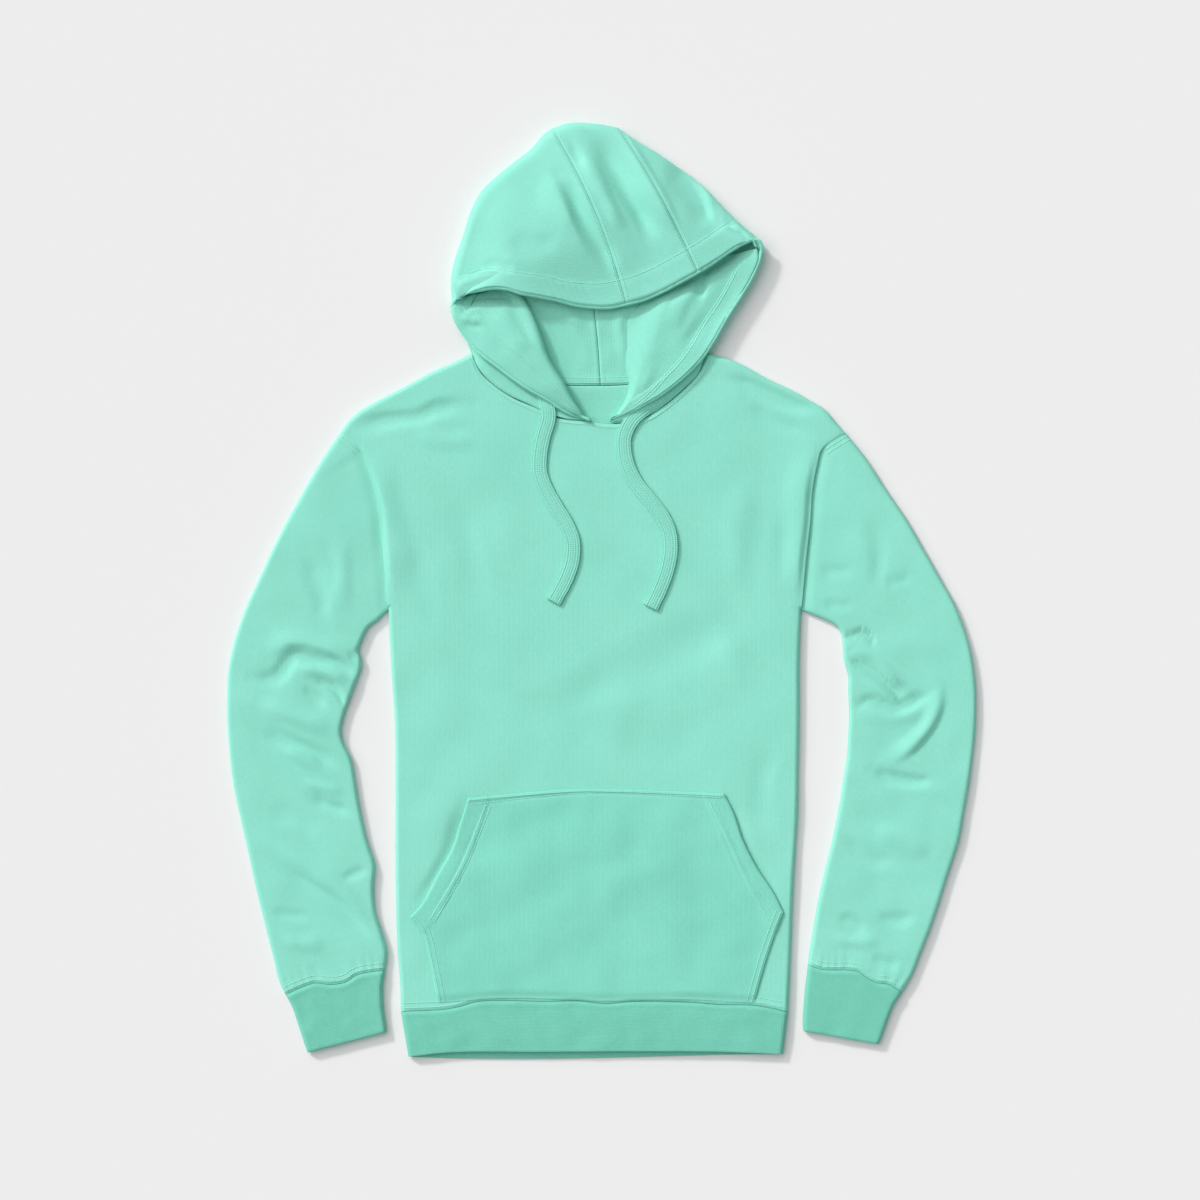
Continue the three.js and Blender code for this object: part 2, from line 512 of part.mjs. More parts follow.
const seamShares = topEdge.map((point) => (point.x - topEdge[0].x) / topWidth);
const bandSeam = sample(BAND_SEAM, seamShares);
const bodyFoot = offsetEdge(bandSeam, SEAM_GAP);
leftEdge[0] = bodyFoot[0];
rightEdge[0] = bodyFoot[bodyFoot.length - 1];

const hoodRows = [...HOOD_LEFT, ...HOOD_CENTRE.slice(1), ...HOOD_RIGHT.slice(1)];
const hoodShares = hoodRows.map((row) => row.neck);

function nearestDistance(point, edge) {
  let nearest = Infinity;
  const level = new THREE.Vector3(point.x, point.y, 0);
  const foot = new THREE.Vector3();
  edge.slice(1).forEach((end, i) => {
    new THREE.Line3(edge[i], end).closestPointToPoint(level, true, foot);
    nearest = Math.min(nearest, foot.distanceTo(level));
  });
  return nearest;
}

// Upper face of the front panel: rounded down at its folds, flat at the neck and band seams
function frontHeight(x, y) {
  const point = new THREE.Vector3(x, y, 0);
  const edges = [leftEdge, rightEdge, leftShoulder, rightShoulder];
  const distance = Math.min(...edges.map((edge) => nearestDistance(point, edge)));
  const full = Math.max(BODY_HEIGHT + foldHeight(BODY_FOLDS, x, y), LOWEST_TOP);
  return mix(EDGE_HEIGHT, full, quarterRound(distance, EDGE_ROUND));
}

function frontPanel() {
  const rows = patch(leftEdge, rightEdge, bodyFoot, topEdge);
  rows.flat().forEach((point) => {
    point.z = frontHeight(point.x, point.y);
  });
  return clothWall(rows, FLEECE, { floor: FRONT_FLOOR });
}

// Flat sheet under the front, cut lower at the neck only by the back neck curve
function backPanel() {
  const neck = sample(BACK_NECK, hoodShares).slice(1, -1);
  const outline = [
    ...leftEdge.slice(1), ...leftShoulder.slice(1), ...neck, ...rightShoulder.slice(0, -1),
    ...rightEdge.slice(1).reverse(), ...bodyFoot.slice().reverse(),
  ];
  const shape = new THREE.Shape(outline.map((point) => new THREE.Vector2(point.x, point.y)));
  return new THREE.ExtrudeGeometry(shape, { depth: FLEECE, bevelEnabled: false });
}

// Ring around a flattened tube: over the top from the outer fold to the inner one, back below
function tubeRing(planTop, planUnder, topHeight) {
  const outer = planTop[0];
  const inner = planTop[planTop.length - 1];
  const over = planTop.map((point, i) => {
    const distance = i < planTop.length / 2 ? point.distanceTo(outer) : point.distanceTo(inner);
    const z = mix(TUBE_EDGE, topHeight(point.x, point.y), quarterRound(distance, EDGE_ROUND));
    return new THREE.Vector3(point.x, point.y, z);
  });
  return [...over, ...planUnder.map((point) => new THREE.Vector3(point.x, point.y, 0))];
}

function sectionPoints(section, shares) {
  const outer = new THREE.Vector3(section.xo, section.yo, 0);
  const run = new THREE.Vector3(section.xi, section.yi, 0).sub(outer);
  const towardsBody = new THREE.Vector3(-run.y, run.x, 0).normalize();
  const turn = section.xo < 0 ? 1 : -1;
  return shares.map((share) =>
    outer
      .clone()
      .addScaledVector(run, share)
      .addScaledVector(towardsBody, turn * section.bow * 4 * share * (1 - share)),
  );
}

// Ring along a curved seam, from the outer fold to the inner one, moved off the seam by the gap
function seamRing(points, shift, topHeight) {
  const over = offsetEdge(sample(points, ACROSS), shift);
  const under = offsetEdge(sample(points, UNDER.slice().reverse()), shift).reverse();
  return tubeRing(over, under, topHeight);
}

function sectionRing(section, topHeight) {
  return tubeRing(sectionPoints(section, ACROSS), sectionPoints(section, UNDER), topHeight);
}

function sleeve(side, sections, armholeEdge, cuffSeam, folds) {
  const away = side === "left" ? -1 : 1;
  const height = (x, y) => Math.max(SLEEVE_HEIGHT + foldHeight(folds, x, y), LOWEST_TOP);
  const flat = () => SLEEVE_HEIGHT - UNDER_BODY;
  const rings = [
    seamRing([...armholeEdge].reverse(), away * SEAM_GAP, flat),
    ...sections.map((section) => sectionRing(section, height)),
    seamRing(cuffSeam, -away * SEAM_GAP, height),
  ];
  return clothWall(rings, FLEECE, { tube: true, inward: away });
}

function cuff(side, sections, cuffSeam) {
  const away = side === "left" ? -1 : 1;
  const height = () => BAND_HEIGHT;
  const rings = [
    seamRing(cuffSeam, 0, height),
    ...sections.map((section) => sectionRing(section, height)),
  ];
  return clothWall(rings, RIB, { tube: true, inward: away });
}

// Folded rib band: rings run round it, from the body's seam to the hem
function waistband() {
  const under = seamShares.slice(1, -1).reverse();
  const seam = { front: BAND_SEAM, back: BAND_SEAM };
  const hem = { front: FRONT_HEM, back: BACK_HEM };
  const ringAt = (share) => {
    const line = (side, shares) => {
      const top = sample(seam[side], shares);
      const foot = sample(hem[side], shares);
      return top.map((point, i) => point.lerp(foot[i], share));
    };
    return tubeRing(line("front", seamShares), line("back", under), () => BAND_HEIGHT);
  };
  return clothWall([0, 0.12, 0.5, 0.85, 1].map(ringAt), RIB, { tube: true, inward: -1 });
}

// Pocket laid on the front: the front's own height, moved out by its thickness
function pocket() {
  const low = evenly(4);
  const open = evenly(6);
  const left = [...sample(POCKET_LEFT, low), ...sample(POCKET_LEFT_OPENING, open).slice(1)];
  const right = [...sample(POCKET_RIGHT, low), ...sample(POCKET_RIGHT_OPENING, open).slice(1)];
  const rows = patch(left, right, sample(POCKET_FOOT, evenly(14)), sample(POCKET_TOP, evenly(14)));
  rows.flat().forEach((point) => {
    point.z = frontHeight(point.x, point.y) + LAY_GAP + FLEECE;
  });
  return clothWall(rows, FLEECE);
}

// Section of the hood from the brim over the crown, round the outer fold and below to the neck
function hoodSection(row, neckPoint) {
  const outer = new THREE.Vector3(row.ox, row.oy, 0);
  const brim = new THREE.Vector3(row.bx, row.by, 0);
  const length = brim.distanceTo(outer);
  const toBrim = brim.clone().sub(outer).normalize();
  const aside = new THREE.Vector3(toBrim.y, -toBrim.x, 0).multiplyScalar(-1);
  const over = HOOD_OVER.map((share) => share * length);
  const shorter = Math.min(1, length / SHORT_SECTION);
  const atFold = HOOD_AT_FOLD.map((distance) => distance * shorter);
  const section = [...over, ...atFold].map((distance) => {
    const share = distance / length;
    const place = outer.clone().addScaledVector(toBrim, distance);
    place.addScaledVector(aside, row.bow * 4 * share * (1 - share));
    const swell = (row.crown - HOOD_EDGE.middle - HOOD_EDGE.rise) * smooth(distance / HOOD_EDGE.swell);
    const round = HOOD_EDGE.rise * quarterRound(distance, Math.min(HOOD_EDGE.round, 0.5 * length));
    const towardsBrim = smooth(1 - (length - distance) / (BRIM_SHARE * length));
    const folds = foldHeight(HOOD_FOLDS, place.x, place.y) * (1 - 0.6 * towardsBrim);
    place.z = mix(HOOD_EDGE.middle + round + swell, row.bz, towardsBrim) + folds;
    return place;
  });
  const toNeck = neckPoint.clone().sub(outer).normalize();
  section.push(new THREE.Vector3(outer.x, outer.y, HOOD_EDGE.middle));
  section.push(outer.clone().addScaledVector(toNeck, UNDER_TURN.reach).setZ(UNDER_TURN.height));
  const below = outer.clone().addScaledVector(toNeck, UNDER_TURN.end);
  section.push(below);
  for (const share of HOOD_UNDER) {
    section.push(below.clone().lerp(neckPoint, share));
  }
  return section;
}

// Panel of the hood's shell. The seams between the three run up and down, so the end rows there
// are shifted sideways to leave the gap.
function hoodPanel(rows, seamAtStart, seamAtEnd) {
  const backNeck = offsetEdge(sample(BACK_NECK, hoodShares), SEAM_GAP);
  const sections = rows.map((row) => hoodSection(row, backNeck[hoodShares.indexOf(row.neck)]));
  const shift = (section, distance) => section.forEach((point) => (point.x += distance));
  if (seamAtStart) shift(sections[0], HOOD_SEAM_SHIFT);
  if (seamAtEnd) shift(sections[rows.length - 1], -HOOD_SEAM_SHIFT);
  return clothWall(sections, FLEECE, { inward: -1 });
}

// Rolled front edge: over the top from the free edge to the crest, round it, and back below
function rolledEdge(rows, inward) {
  const neck = edgeCurve(FRONT_NECK);
  const sections = rows.map((row) => {
    const free = new THREE.Vector3(row.ex, row.ey, 0);
    const crest = new THREE.Vector3(row.fx, row.fy, 0);
    const end = new THREE.Vector3(row.nx ?? 0, row.ny ?? 0, 0);
    if (row.neck !== undefined) {
      const run = neck.getTangentAt(row.neck);
      const aside = new THREE.Vector3(-run.y, run.x, 0);
      end.copy(neck.getPointAt(row.neck)).addScaledVector(aside, ROLL_GAP);
    }
    const width = free.distanceTo(crest);
    const back = Math.min(6, 0.35 * width);
    const tip = Math.min(1.6, 0.12 * width);
    const toFree = free.clone().sub(crest).normalize();
    const middle = 0.5 * (row.fz + ROLL_UNDER);
    const at = (distance, z) => crest.clone().addScaledVector(toFree, distance).setZ(z);
    const below = (share, z) => at(back, 0).lerp(end, share).setZ(z);
    return [
      free.clone().setZ(row.ez),
      free.clone().lerp(crest, 0.3).setZ(mix(row.ez, row.fz, 0.3) + 0.6),
      free.clone().lerp(crest, 0.62).setZ(mix(row.ez, row.fz, 0.62) + 0.4),
      at(back, row.fz),
      at(tip, mix(row.fz, middle, 0.35)),
      crest.clone().setZ(middle),
      at(tip, mix(ROLL_UNDER, middle, 0.35)),
      at(back, ROLL_UNDER),
      below(0.45, ROLL_UNDER),
      below(0.7, ROLL_UNDER),
      below(0.88, mix(ROLL_UNDER, row.nz, 0.6)),
      end.setZ(row.nz),
    ];
  });
  return clothWall(sections, FLEECE, { inward });
}

function liningHalf(outerEdge, seamShift) {
  const rows = evenly(7);
  const seam = sample(LINING_SEAM, rows);
  seam.forEach((point) => (point.x += seamShift));
  const edge = sample(outerEdge, rows);
  const neck = edgeCurve(BACK_NECK);
  const neckAt = (x) => {
    const places = evenly(NECK_SEARCH_STEPS).map((share) => neck.getPointAt(share));
    return places.reduce((a, b) => (Math.abs(a.x - x) < Math.abs(b.x - x) ? a : b)).y;
  };
  const grid = seam.map((start, j) =>
    evenly(6).map((share) => {
      const point = start.clone().lerp(edge[j], share);
      if (j === 0) point.y = neckAt(point.x) + LINING_NECK_GAP;
      return point.setZ(LINING_TOP_HEIGHT);
    }),
  );
  return clothWall(grid, FLEECE, { inward: seamShift < 0 ? -1 : 1 });
}

// Level frames along a cord's middle line keep its flat face up
class LevelRoute extends THREE.CatmullRomCurve3 {
  computeFrenetFrames(segments) {
    const frames = { tangents: [], normals: [], binormals: [] };
    for (const share of evenly(segments)) {
      const tangent = this.getTangentAt(share);
      const aside = new THREE.Vector3(-tangent.y, tangent.x, 0).normalize();
      frames.tangents.push(tangent);
      frames.normals.push(aside);
      frames.binormals.push(new THREE.Vector3().crossVectors(tangent, aside).normalize());
    }
    return frames;
  }
}

function drawcord(points) {
  const seamTop = ROLL_UNDER + FLEECE;
  const neck = sample(FRONT_NECK, evenly(40));
  const route = points.map(([x, y], i) => {
    const near = neck.filter((point) => Math.abs(point.x - x) < NECK_NEAR);
    const onHood = y > Math.min(...near.map((point) => point.y));
    const spots = [-0.5, 0, 0.5].map((share) => frontHeight(x + share * CORD.width, y));
    const ground = onHood || i < 2 ? Math.max(seamTop, ...spots) : Math.max(...spots);
    return new THREE.Vector3(x, y, ground + LAY_GAP + 0.5 * CORD.thick);
  });
  const [w, h, b] = [0.5 * CORD.width, 0.5 * CORD.thick, CORD.bevel];
  const corners = [
    [w, b - h], [w, h - b], [w - b, h], [b - w, h],
    [-w, h - b], [-w, b - h], [b - w, -h], [w - b, -h],
  ];
  const section = new THREE.Shape(corners.map(([x, y]) => new THREE.Vector2(x, y)));
  const extrudePath = new LevelRoute(route, false, "centripetal");
  return new THREE.ExtrudeGeometry(section, { steps: CORD.steps, extrudePath });
}

const fleece = new THREE.MeshStandardMaterial({ color: MINT, roughness: 0.95, metalness: 0 });
const rib = new THREE.MeshStandardMaterial({ color: MINT_RIB, roughness: 0.95, metalness: 0 });
const hoodie = new THREE.Group();

function addPiece(name, geometry, material) {
  const mesh = new THREE.Mesh(geometry, material);
  mesh.name = name;
  hoodie.add(mesh);
}

addPiece("back_panel", backPanel(), fleece);
addPiece("front_panel", frontPanel(), fleece);
const leftSleeve = sleeve("left", LEFT_SLEEVE, LEFT_ARMHOLE, LEFT_CUFF_SEAM, LEFT_SLEEVE_FOLDS);
const rightSleeve = sleeve("right", RIGHT_SLEEVE, RIGHT_ARMHOLE, RIGHT_CUFF_SEAM, RIGHT_SLEEVE_FOLDS);
addPiece("sleeve_left", leftSleeve, fleece);
addPiece("sleeve_right", rightSleeve, fleece);
addPiece("cuff_left", cuff("left", LEFT_CUFF, LEFT_CUFF_SEAM), rib);
addPiece("cuff_right", cuff("right", RIGHT_CUFF, RIGHT_CUFF_SEAM), rib);
addPiece("waistband", waistband(), rib);
addPiece("pocket", pocket(), fleece);
const leftHood = joined(hoodPanel(HOOD_LEFT, false, true), rolledEdge(LEFT_ROLL, -1));
const rightHood = joined(hoodPanel(HOOD_RIGHT, true, false), rolledEdge(RIGHT_ROLL, 1));
addPiece("hood_left_panel", leftHood, fleece);
addPiece("hood_centre_panel", hoodPanel(HOOD_CENTRE, true, true), fleece);
addPiece("hood_right_panel", rightHood, fleece);
addPiece("hood_lining_left", liningHalf(LINING_LEFT_EDGE, -0.5 * SEAM_GAP), fleece);
addPiece("hood_lining_right", liningHalf(LINING_RIGHT_EDGE, 0.5 * SEAM_GAP), fleece);
addPiece("drawcord_left", drawcord(LEFT_CORD), rib);
addPiece("drawcord_right", drawcord(RIGHT_CORD), rib);

export default hoodie;
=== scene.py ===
# %% [markdown]
# A pullover hoodie lies flat on its back on a pale table, with its sleeves down beside the body.
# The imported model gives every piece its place. This script gives each cut and sewn piece its cloth:
# the folds of the laid garment, the dips at its seams, rows of stitches and a knitted finish.

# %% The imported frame
import math
import bmesh
import bpy
import numpy as np
from mathutils import Matrix, Vector
from mathutils.bvhtree import BVHTree


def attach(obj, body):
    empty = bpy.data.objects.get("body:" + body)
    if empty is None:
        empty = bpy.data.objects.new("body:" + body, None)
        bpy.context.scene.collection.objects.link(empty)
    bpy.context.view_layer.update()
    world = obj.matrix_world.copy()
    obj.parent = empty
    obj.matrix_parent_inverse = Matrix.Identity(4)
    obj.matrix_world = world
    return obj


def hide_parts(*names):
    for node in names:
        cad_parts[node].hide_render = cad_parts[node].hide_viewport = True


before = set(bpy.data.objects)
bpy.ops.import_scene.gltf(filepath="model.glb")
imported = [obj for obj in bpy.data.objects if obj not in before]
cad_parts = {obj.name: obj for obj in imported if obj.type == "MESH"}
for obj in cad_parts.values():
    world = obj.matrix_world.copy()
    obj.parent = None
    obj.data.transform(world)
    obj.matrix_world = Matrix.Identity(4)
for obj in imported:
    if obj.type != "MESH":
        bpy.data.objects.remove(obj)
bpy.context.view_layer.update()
MM = 0.001
print("nodes:", ", ".join(sorted(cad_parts)))

# %% [markdown]
# The picture was taken from straight above with a long lens, so the camera looks down from over
# three metres. One wide plane is the table. A light that comes from a wide part of the sky keeps
# the cloth soft, and a small weaker sun at the upper left draws the crisp shadow on the table.

# %% Table, camera and light
CENTRE = (-0.0015, -0.009)
VIEW_WIDTH = 1.2
LENS = 100.0
SENSOR = 36.0
SKY_LIGHT = 0.37
SKY_TINT = (0.79, 1.03, 0.985)
SUN_TINT = (1.215, 0.97, 1.015)


def make_table():
    bm = bmesh.new()
    bmesh.ops.create_grid(bm, x_segments=1, y_segments=1, size=4.0)
    mesh = bpy.data.meshes.new("table")
    bm.to_mesh(mesh)
    bm.free()
    mesh.transform(Matrix.Translation((0.0, 0.0, -0.0004)))
    table = bpy.data.objects.new("table", mesh)
    bpy.context.collection.objects.link(table)
    paint = bpy.data.materials.new("table_paint")
    paint.use_nodes = True
    shader = paint.node_tree.nodes["Principled BSDF"]
    shader.inputs["Base Color"].default_value = (0.845, 0.845, 0.85, 1.0)
    shader.inputs["Roughness"].default_value = 0.9
    shader.inputs["Specular IOR Level"].default_value = 0.1
    mesh.materials.append(paint)
    return table


def make_camera():
    lens = bpy.data.cameras.new("camera")
    lens.lens = LENS
    lens.sensor_width = SENSOR
    lens.clip_end = 20.0
    camera = bpy.data.objects.new("camera", lens)
    camera.location = (CENTRE[0], CENTRE[1], VIEW_WIDTH * LENS / SENSOR)
    bpy.context.collection.objects.link(camera)
    bpy.context.scene.camera = camera
    return camera


def make_sun(name, azimuth, elevation, share, spread, colour=(1.0, 1.0, 1.0)):
    """A sun that gives its share of the light on the level table."""
    sun = bpy.data.lights.new(name, "SUN")
    sun.energy = share * math.pi / math.sin(math.radians(elevation))
    sun.color = colour
    sun.angle = math.radians(spread)
    lamp = bpy.data.objects.new(name, sun)
    a, e = math.radians(azimuth), math.radians(elevation)
    toward = Vector((math.cos(e) * math.cos(a), math.cos(e) * math.sin(a), math.sin(e)))
    lamp.rotation_euler = toward.to_track_quat("Z", "Y").to_euler()
    bpy.context.collection.objects.link(lamp)
    return lamp


make_table()
camera = make_camera()
make_sun("window_light", 145.0, 46.0, 0.385, 66.0, SUN_TINT)
make_sun("shadow_light", 135.0, 28.0, 0.25, 7.0)
world = bpy.data.worlds.new("studio")
world.use_nodes = True
world.node_tree.nodes["Background"].inputs["Color"].default_value = (*SKY_TINT, 1.0)
world.node_tree.nodes["Background"].inputs["Strength"].default_value = SKY_LIGHT
bpy.context.scene.world = world
bpy.context.scene.view_settings.view_transform = "Standard"
print("camera stands", round(camera.location.z, 3), "m over the table")

# %% [markdown]
# Cloth is easiest to shape as a grid. An operator makes the flat grid, and every corner is then
# moved to its place, as a tailor lays a cut piece over what is under it. The places come from
# tables in millimetres that repeat those of the solid model, read along smooth curves.

# %% Curves and small shaping tools


def through(points, shares):
    """Places along a smooth curve through the points, by share of its length."""
    p = np.array(points, dtype=float)
    ends = np.vstack([2 * p[0] - p[1], p, 2 * p[-1] - p[-2]])
    gaps = np.maximum(np.linalg.norm(np.diff(ends, axis=0), axis=1), 1e-6) ** 0.5
    t = np.linspace(0.0, 1.0, 25)[:-1, None]
    runs = []
    for i in range(len(p) - 1):
        a, b, c, d = ends[i:i + 4]
        g0, g1, g2 = gaps[i:i + 3]
        leave = ((b - a) / g0 - (c - a) / (g0 + g1) + (c - b) / g1) * g1
        arrive = ((c - b) / g1 - (d - b) / (g1 + g2) + (d - c) / g2) * g1
        runs.append(b + leave * t + (3 * (c - b) - 2 * leave - arrive) * t**2 + (2 * (b - c) + leave + arrive) * t**3)
    dense = np.vstack(runs + [p[-1:]])
    travelled = np.r_[0.0, np.cumsum(np.linalg.norm(np.diff(dense, axis=0), axis=1))]
    where = np.asarray(shares, dtype=float) * travelled[-1]
    return np.column_stack([np.interp(where, travelled, dense[:, k]) for k in range(p.shape[1])])


def mix(a, b, share):
    return a + (b - a) * share


def smooth(value):
    t = np.clip(value, 0.0, 1.0)
    return t * t * (3.0 - 2.0 * t)


def quarter_round(distance, radius):
    t = 1.0 - np.clip(distance / radius, 0.0, 1.0)
    return np.sqrt(1.0 - t * t)


def graded(length, cell, rim=12.0):
    """Shares along a length in even cells, with finer ones at both ends where the cloth turns."""
    fine = rim * (1.0 - np.cos(np.linspace(0.0, 0.5 * np.pi, 7)[:-1]))
    count = max(int(round((length - 2 * rim) / cell)), 2)
    even = np.linspace(rim, length - rim, count + 1)
    return np.r_[fine, even, length - fine[::-1]] / length


def offset_line(points, distance):
    """A line moved sideways, positive to the left of its run."""
    run = np.gradient(points, axis=0)
    run /= np.linalg.norm(run, axis=1)[:, None]
    return points + distance * np.column_stack([-run[:, 1], run[:, 0]])


def beside(line, x, y):
    """Distance of each place from a line, the side that it lies on, and how far along it is."""
    nearest = np.full(x.shape, np.inf)
    side = np.ones(x.shape)
    along = np.zeros(x.shape)
    travelled = 0.0
    for (ax, ay), (bx, by) in zip(line[:-1], line[1:]):
        length = math.hypot(bx - ax, by - ay)
        ux, uy = (bx - ax) / length, (by - ay) / length
        t = np.clip((x - ax) * ux + (y - ay) * uy, 0.0, length)
        distance = np.hypot(x - ax - ux * t, y - ay - uy * t)
        closer = distance < nearest
        nearest = np.where(closer, distance, nearest)
        side = np.where(closer, np.sign(ux * (y - ay) - uy * (x - ax)), side)
        along = np.where(closer, travelled + t, along)
        travelled += length
    return nearest, side, along / travelled


print("a quarter of a 12 mm rim starts at", round(12 * graded(24, 3)[1], 3), "mm")

# %% [markdown]
# A fold in laid cloth is a ridge or valley with its own line, height and width, often steeper on
# one side. Each is a row of numbers: height (or depth where negative), reach to the left and to the
# right of its line, and the line. Slow waves keep the cloth between the folds from looking flat.

# %% Folds and waves


def fold_height(folds, x, y):
    total = np.zeros(x.shape)
    for rise, left_reach, right_reach, points in folds:
        line = through(points, np.linspace(0.0, 1.0, 4 * len(points)))
        most = 1.25 * max(left_reach, right_reach)
        low, high = line.min(axis=0) - most, line.max(axis=0) + most
        near = (x > low[0]) & (x < high[0]) & (y > low[1]) & (y < high[1])
        if not near.any():
            continue
        distance, side, along = beside(line, x[near], y[near])
        reach = np.where(side > 0, left_reach, right_reach) * (1.0 + 0.16 * np.sin(8.0 * along + 5.0 * rise))
        ends = mix(0.12, 1.0, smooth(np.minimum(along, 1.0 - along) / 0.3))
        ridge = 0.5 * (1.0 + np.cos(np.pi * np.clip(distance / reach, 0.0, 1.0)))
        total[near] += rise * ridge * ends
    return total


def waves(x, y, seed, size=80.0, amount=0.5):
    chance = np.random.default_rng(seed)
    total = np.zeros(x.shape)
    for _ in range(7):
        turn = chance.uniform(0.0, 2.0 * np.pi)
        length = size * chance.uniform(0.5, 1.6)
        bend = chance.uniform(0.0, 2.0 * np.pi)
        run = (x * math.cos(turn) + y * math.sin(turn)) / length
        cross = (y * math.cos(turn) - x * math.sin(turn)) / (1.7 * length)
        total += np.sin(2.0 * np.pi * run + 1.6 * np.sin(2.0 * np.pi * cross + bend) + bend)
    return amount * total / 3.0


def seam_dip(distance, depth=1.5, reach=4.5):
    """A sewn edge is pulled down, with a low ridge of turned cloth beside it."""
    ridge = 0.3 * np.exp(-(((distance - 1.6 * reach) / (0.7 * reach)) ** 2))
    return ridge - depth * (1.0 - smooth(distance / reach))


# %% [markdown]
# One helper turns a table of places into a piece. The grid operator gives the faces and the UV map
# keeps the flat cut in metres, so that the knit has the same size on every piece. A live Solidify
# gives the cloth its thickness, always to the inside.

# %% A piece of cloth from a grid
surfaces = {}
pieces = {}


def grid_into(bm, places, tube=False, level=False):
    """Adds a grid of places, rows by columns, in millimetres, to a bmesh."""
    rows, columns = places.shape[:2]
    uv_layer = bm.loops.layers.uv.verify()
    fresh = bmesh.ops.create_grid(bm, x_segments=columns - 1, y_segments=rows - 1, size=0.5)["verts"]
    steps_u = np.linalg.norm(np.diff(places, axis=1), axis=2).mean(axis=0)
    steps_v = np.linalg.norm(np.diff(places, axis=0), axis=2).mean(axis=1)
    u = np.r_[0.0, np.cumsum(steps_u)] * MM
    v = np.r_[0.0, np.cumsum(steps_v)] * MM
    spots = [(round((vert.co.y + 0.5) * (rows - 1)), round((vert.co.x + 0.5) * (columns - 1))) for vert in fresh]
    for vert, (j, i) in zip(fresh, spots):
        spot = places[j, i, :2] * MM if level else (u[i], v[j])
        for loop in vert.link_loops:
            loop[uv_layer].uv = spot
    for vert, (j, i) in zip(fresh, spots):
        vert.co = places[j, i] * MM
    if tube:
        bmesh.ops.remove_doubles(bm, verts=fresh, dist=2e-6)


def finish_piece(name, bm, material, nodes=(), thickness=0.0, subdivide=0):
    surfaces[name] = BVHTree.FromBMesh(bm)
    label = f"{name}_cloth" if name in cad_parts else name
    mesh = bpy.data.meshes.new(label)
    bm.to_mesh(mesh)
    bm.free()
    mesh.polygons.foreach_set("use_smooth", [True] * len(mesh.polygons))
    mesh.materials.append(material)
    piece = bpy.data.objects.new(label, mesh)
    bpy.context.collection.objects.link(piece)
    if thickness:
        wall = piece.modifiers.new("cloth thickness", "SOLIDIFY")
        wall.thickness = thickness * MM
        wall.offset = -1.0
        wall.use_rim = True
    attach(piece, "root")
    if nodes:
        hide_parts(*nodes)
    pieces[name] = piece
    area = sum(face.area for face in mesh.polygons)
    print(f"{name}: {len(mesh.polygons)} faces, {area:.3f} square metres")
    return piece


def cloth(name, places, material, nodes, thickness, tube=False, outside=None, level=False):
    """One cut piece; outside names a grid cell whose outer face looks up."""
    bm = bmesh.new()
    grid_into(bm, places, tube, level)
    if outside is None:
        bmesh.ops.recalc_face_normals(bm, faces=bm.faces)
    else:
        j, i = outside
        across = places[j, i + 1] - places[j, i]
        along = places[j + 1, i] - places[j, i]
        if np.cross(across, along)[2] < 0:
            bmesh.ops.reverse_faces(bm, faces=bm.faces)
    return finish_piece(name, bm, material, nodes, thickness)


# %% [markdown]
# Fleece knit has a smooth face of tiny stitches in columns called wales, and a soft bloom of fibre
# ends that catches light at a low angle. The finish is built in layers: fine stitches and fibre as
# bump and as a slight change of tone, broad clouds of tone from dyeing, and sheen on the shader.

# %% Knitted finishes


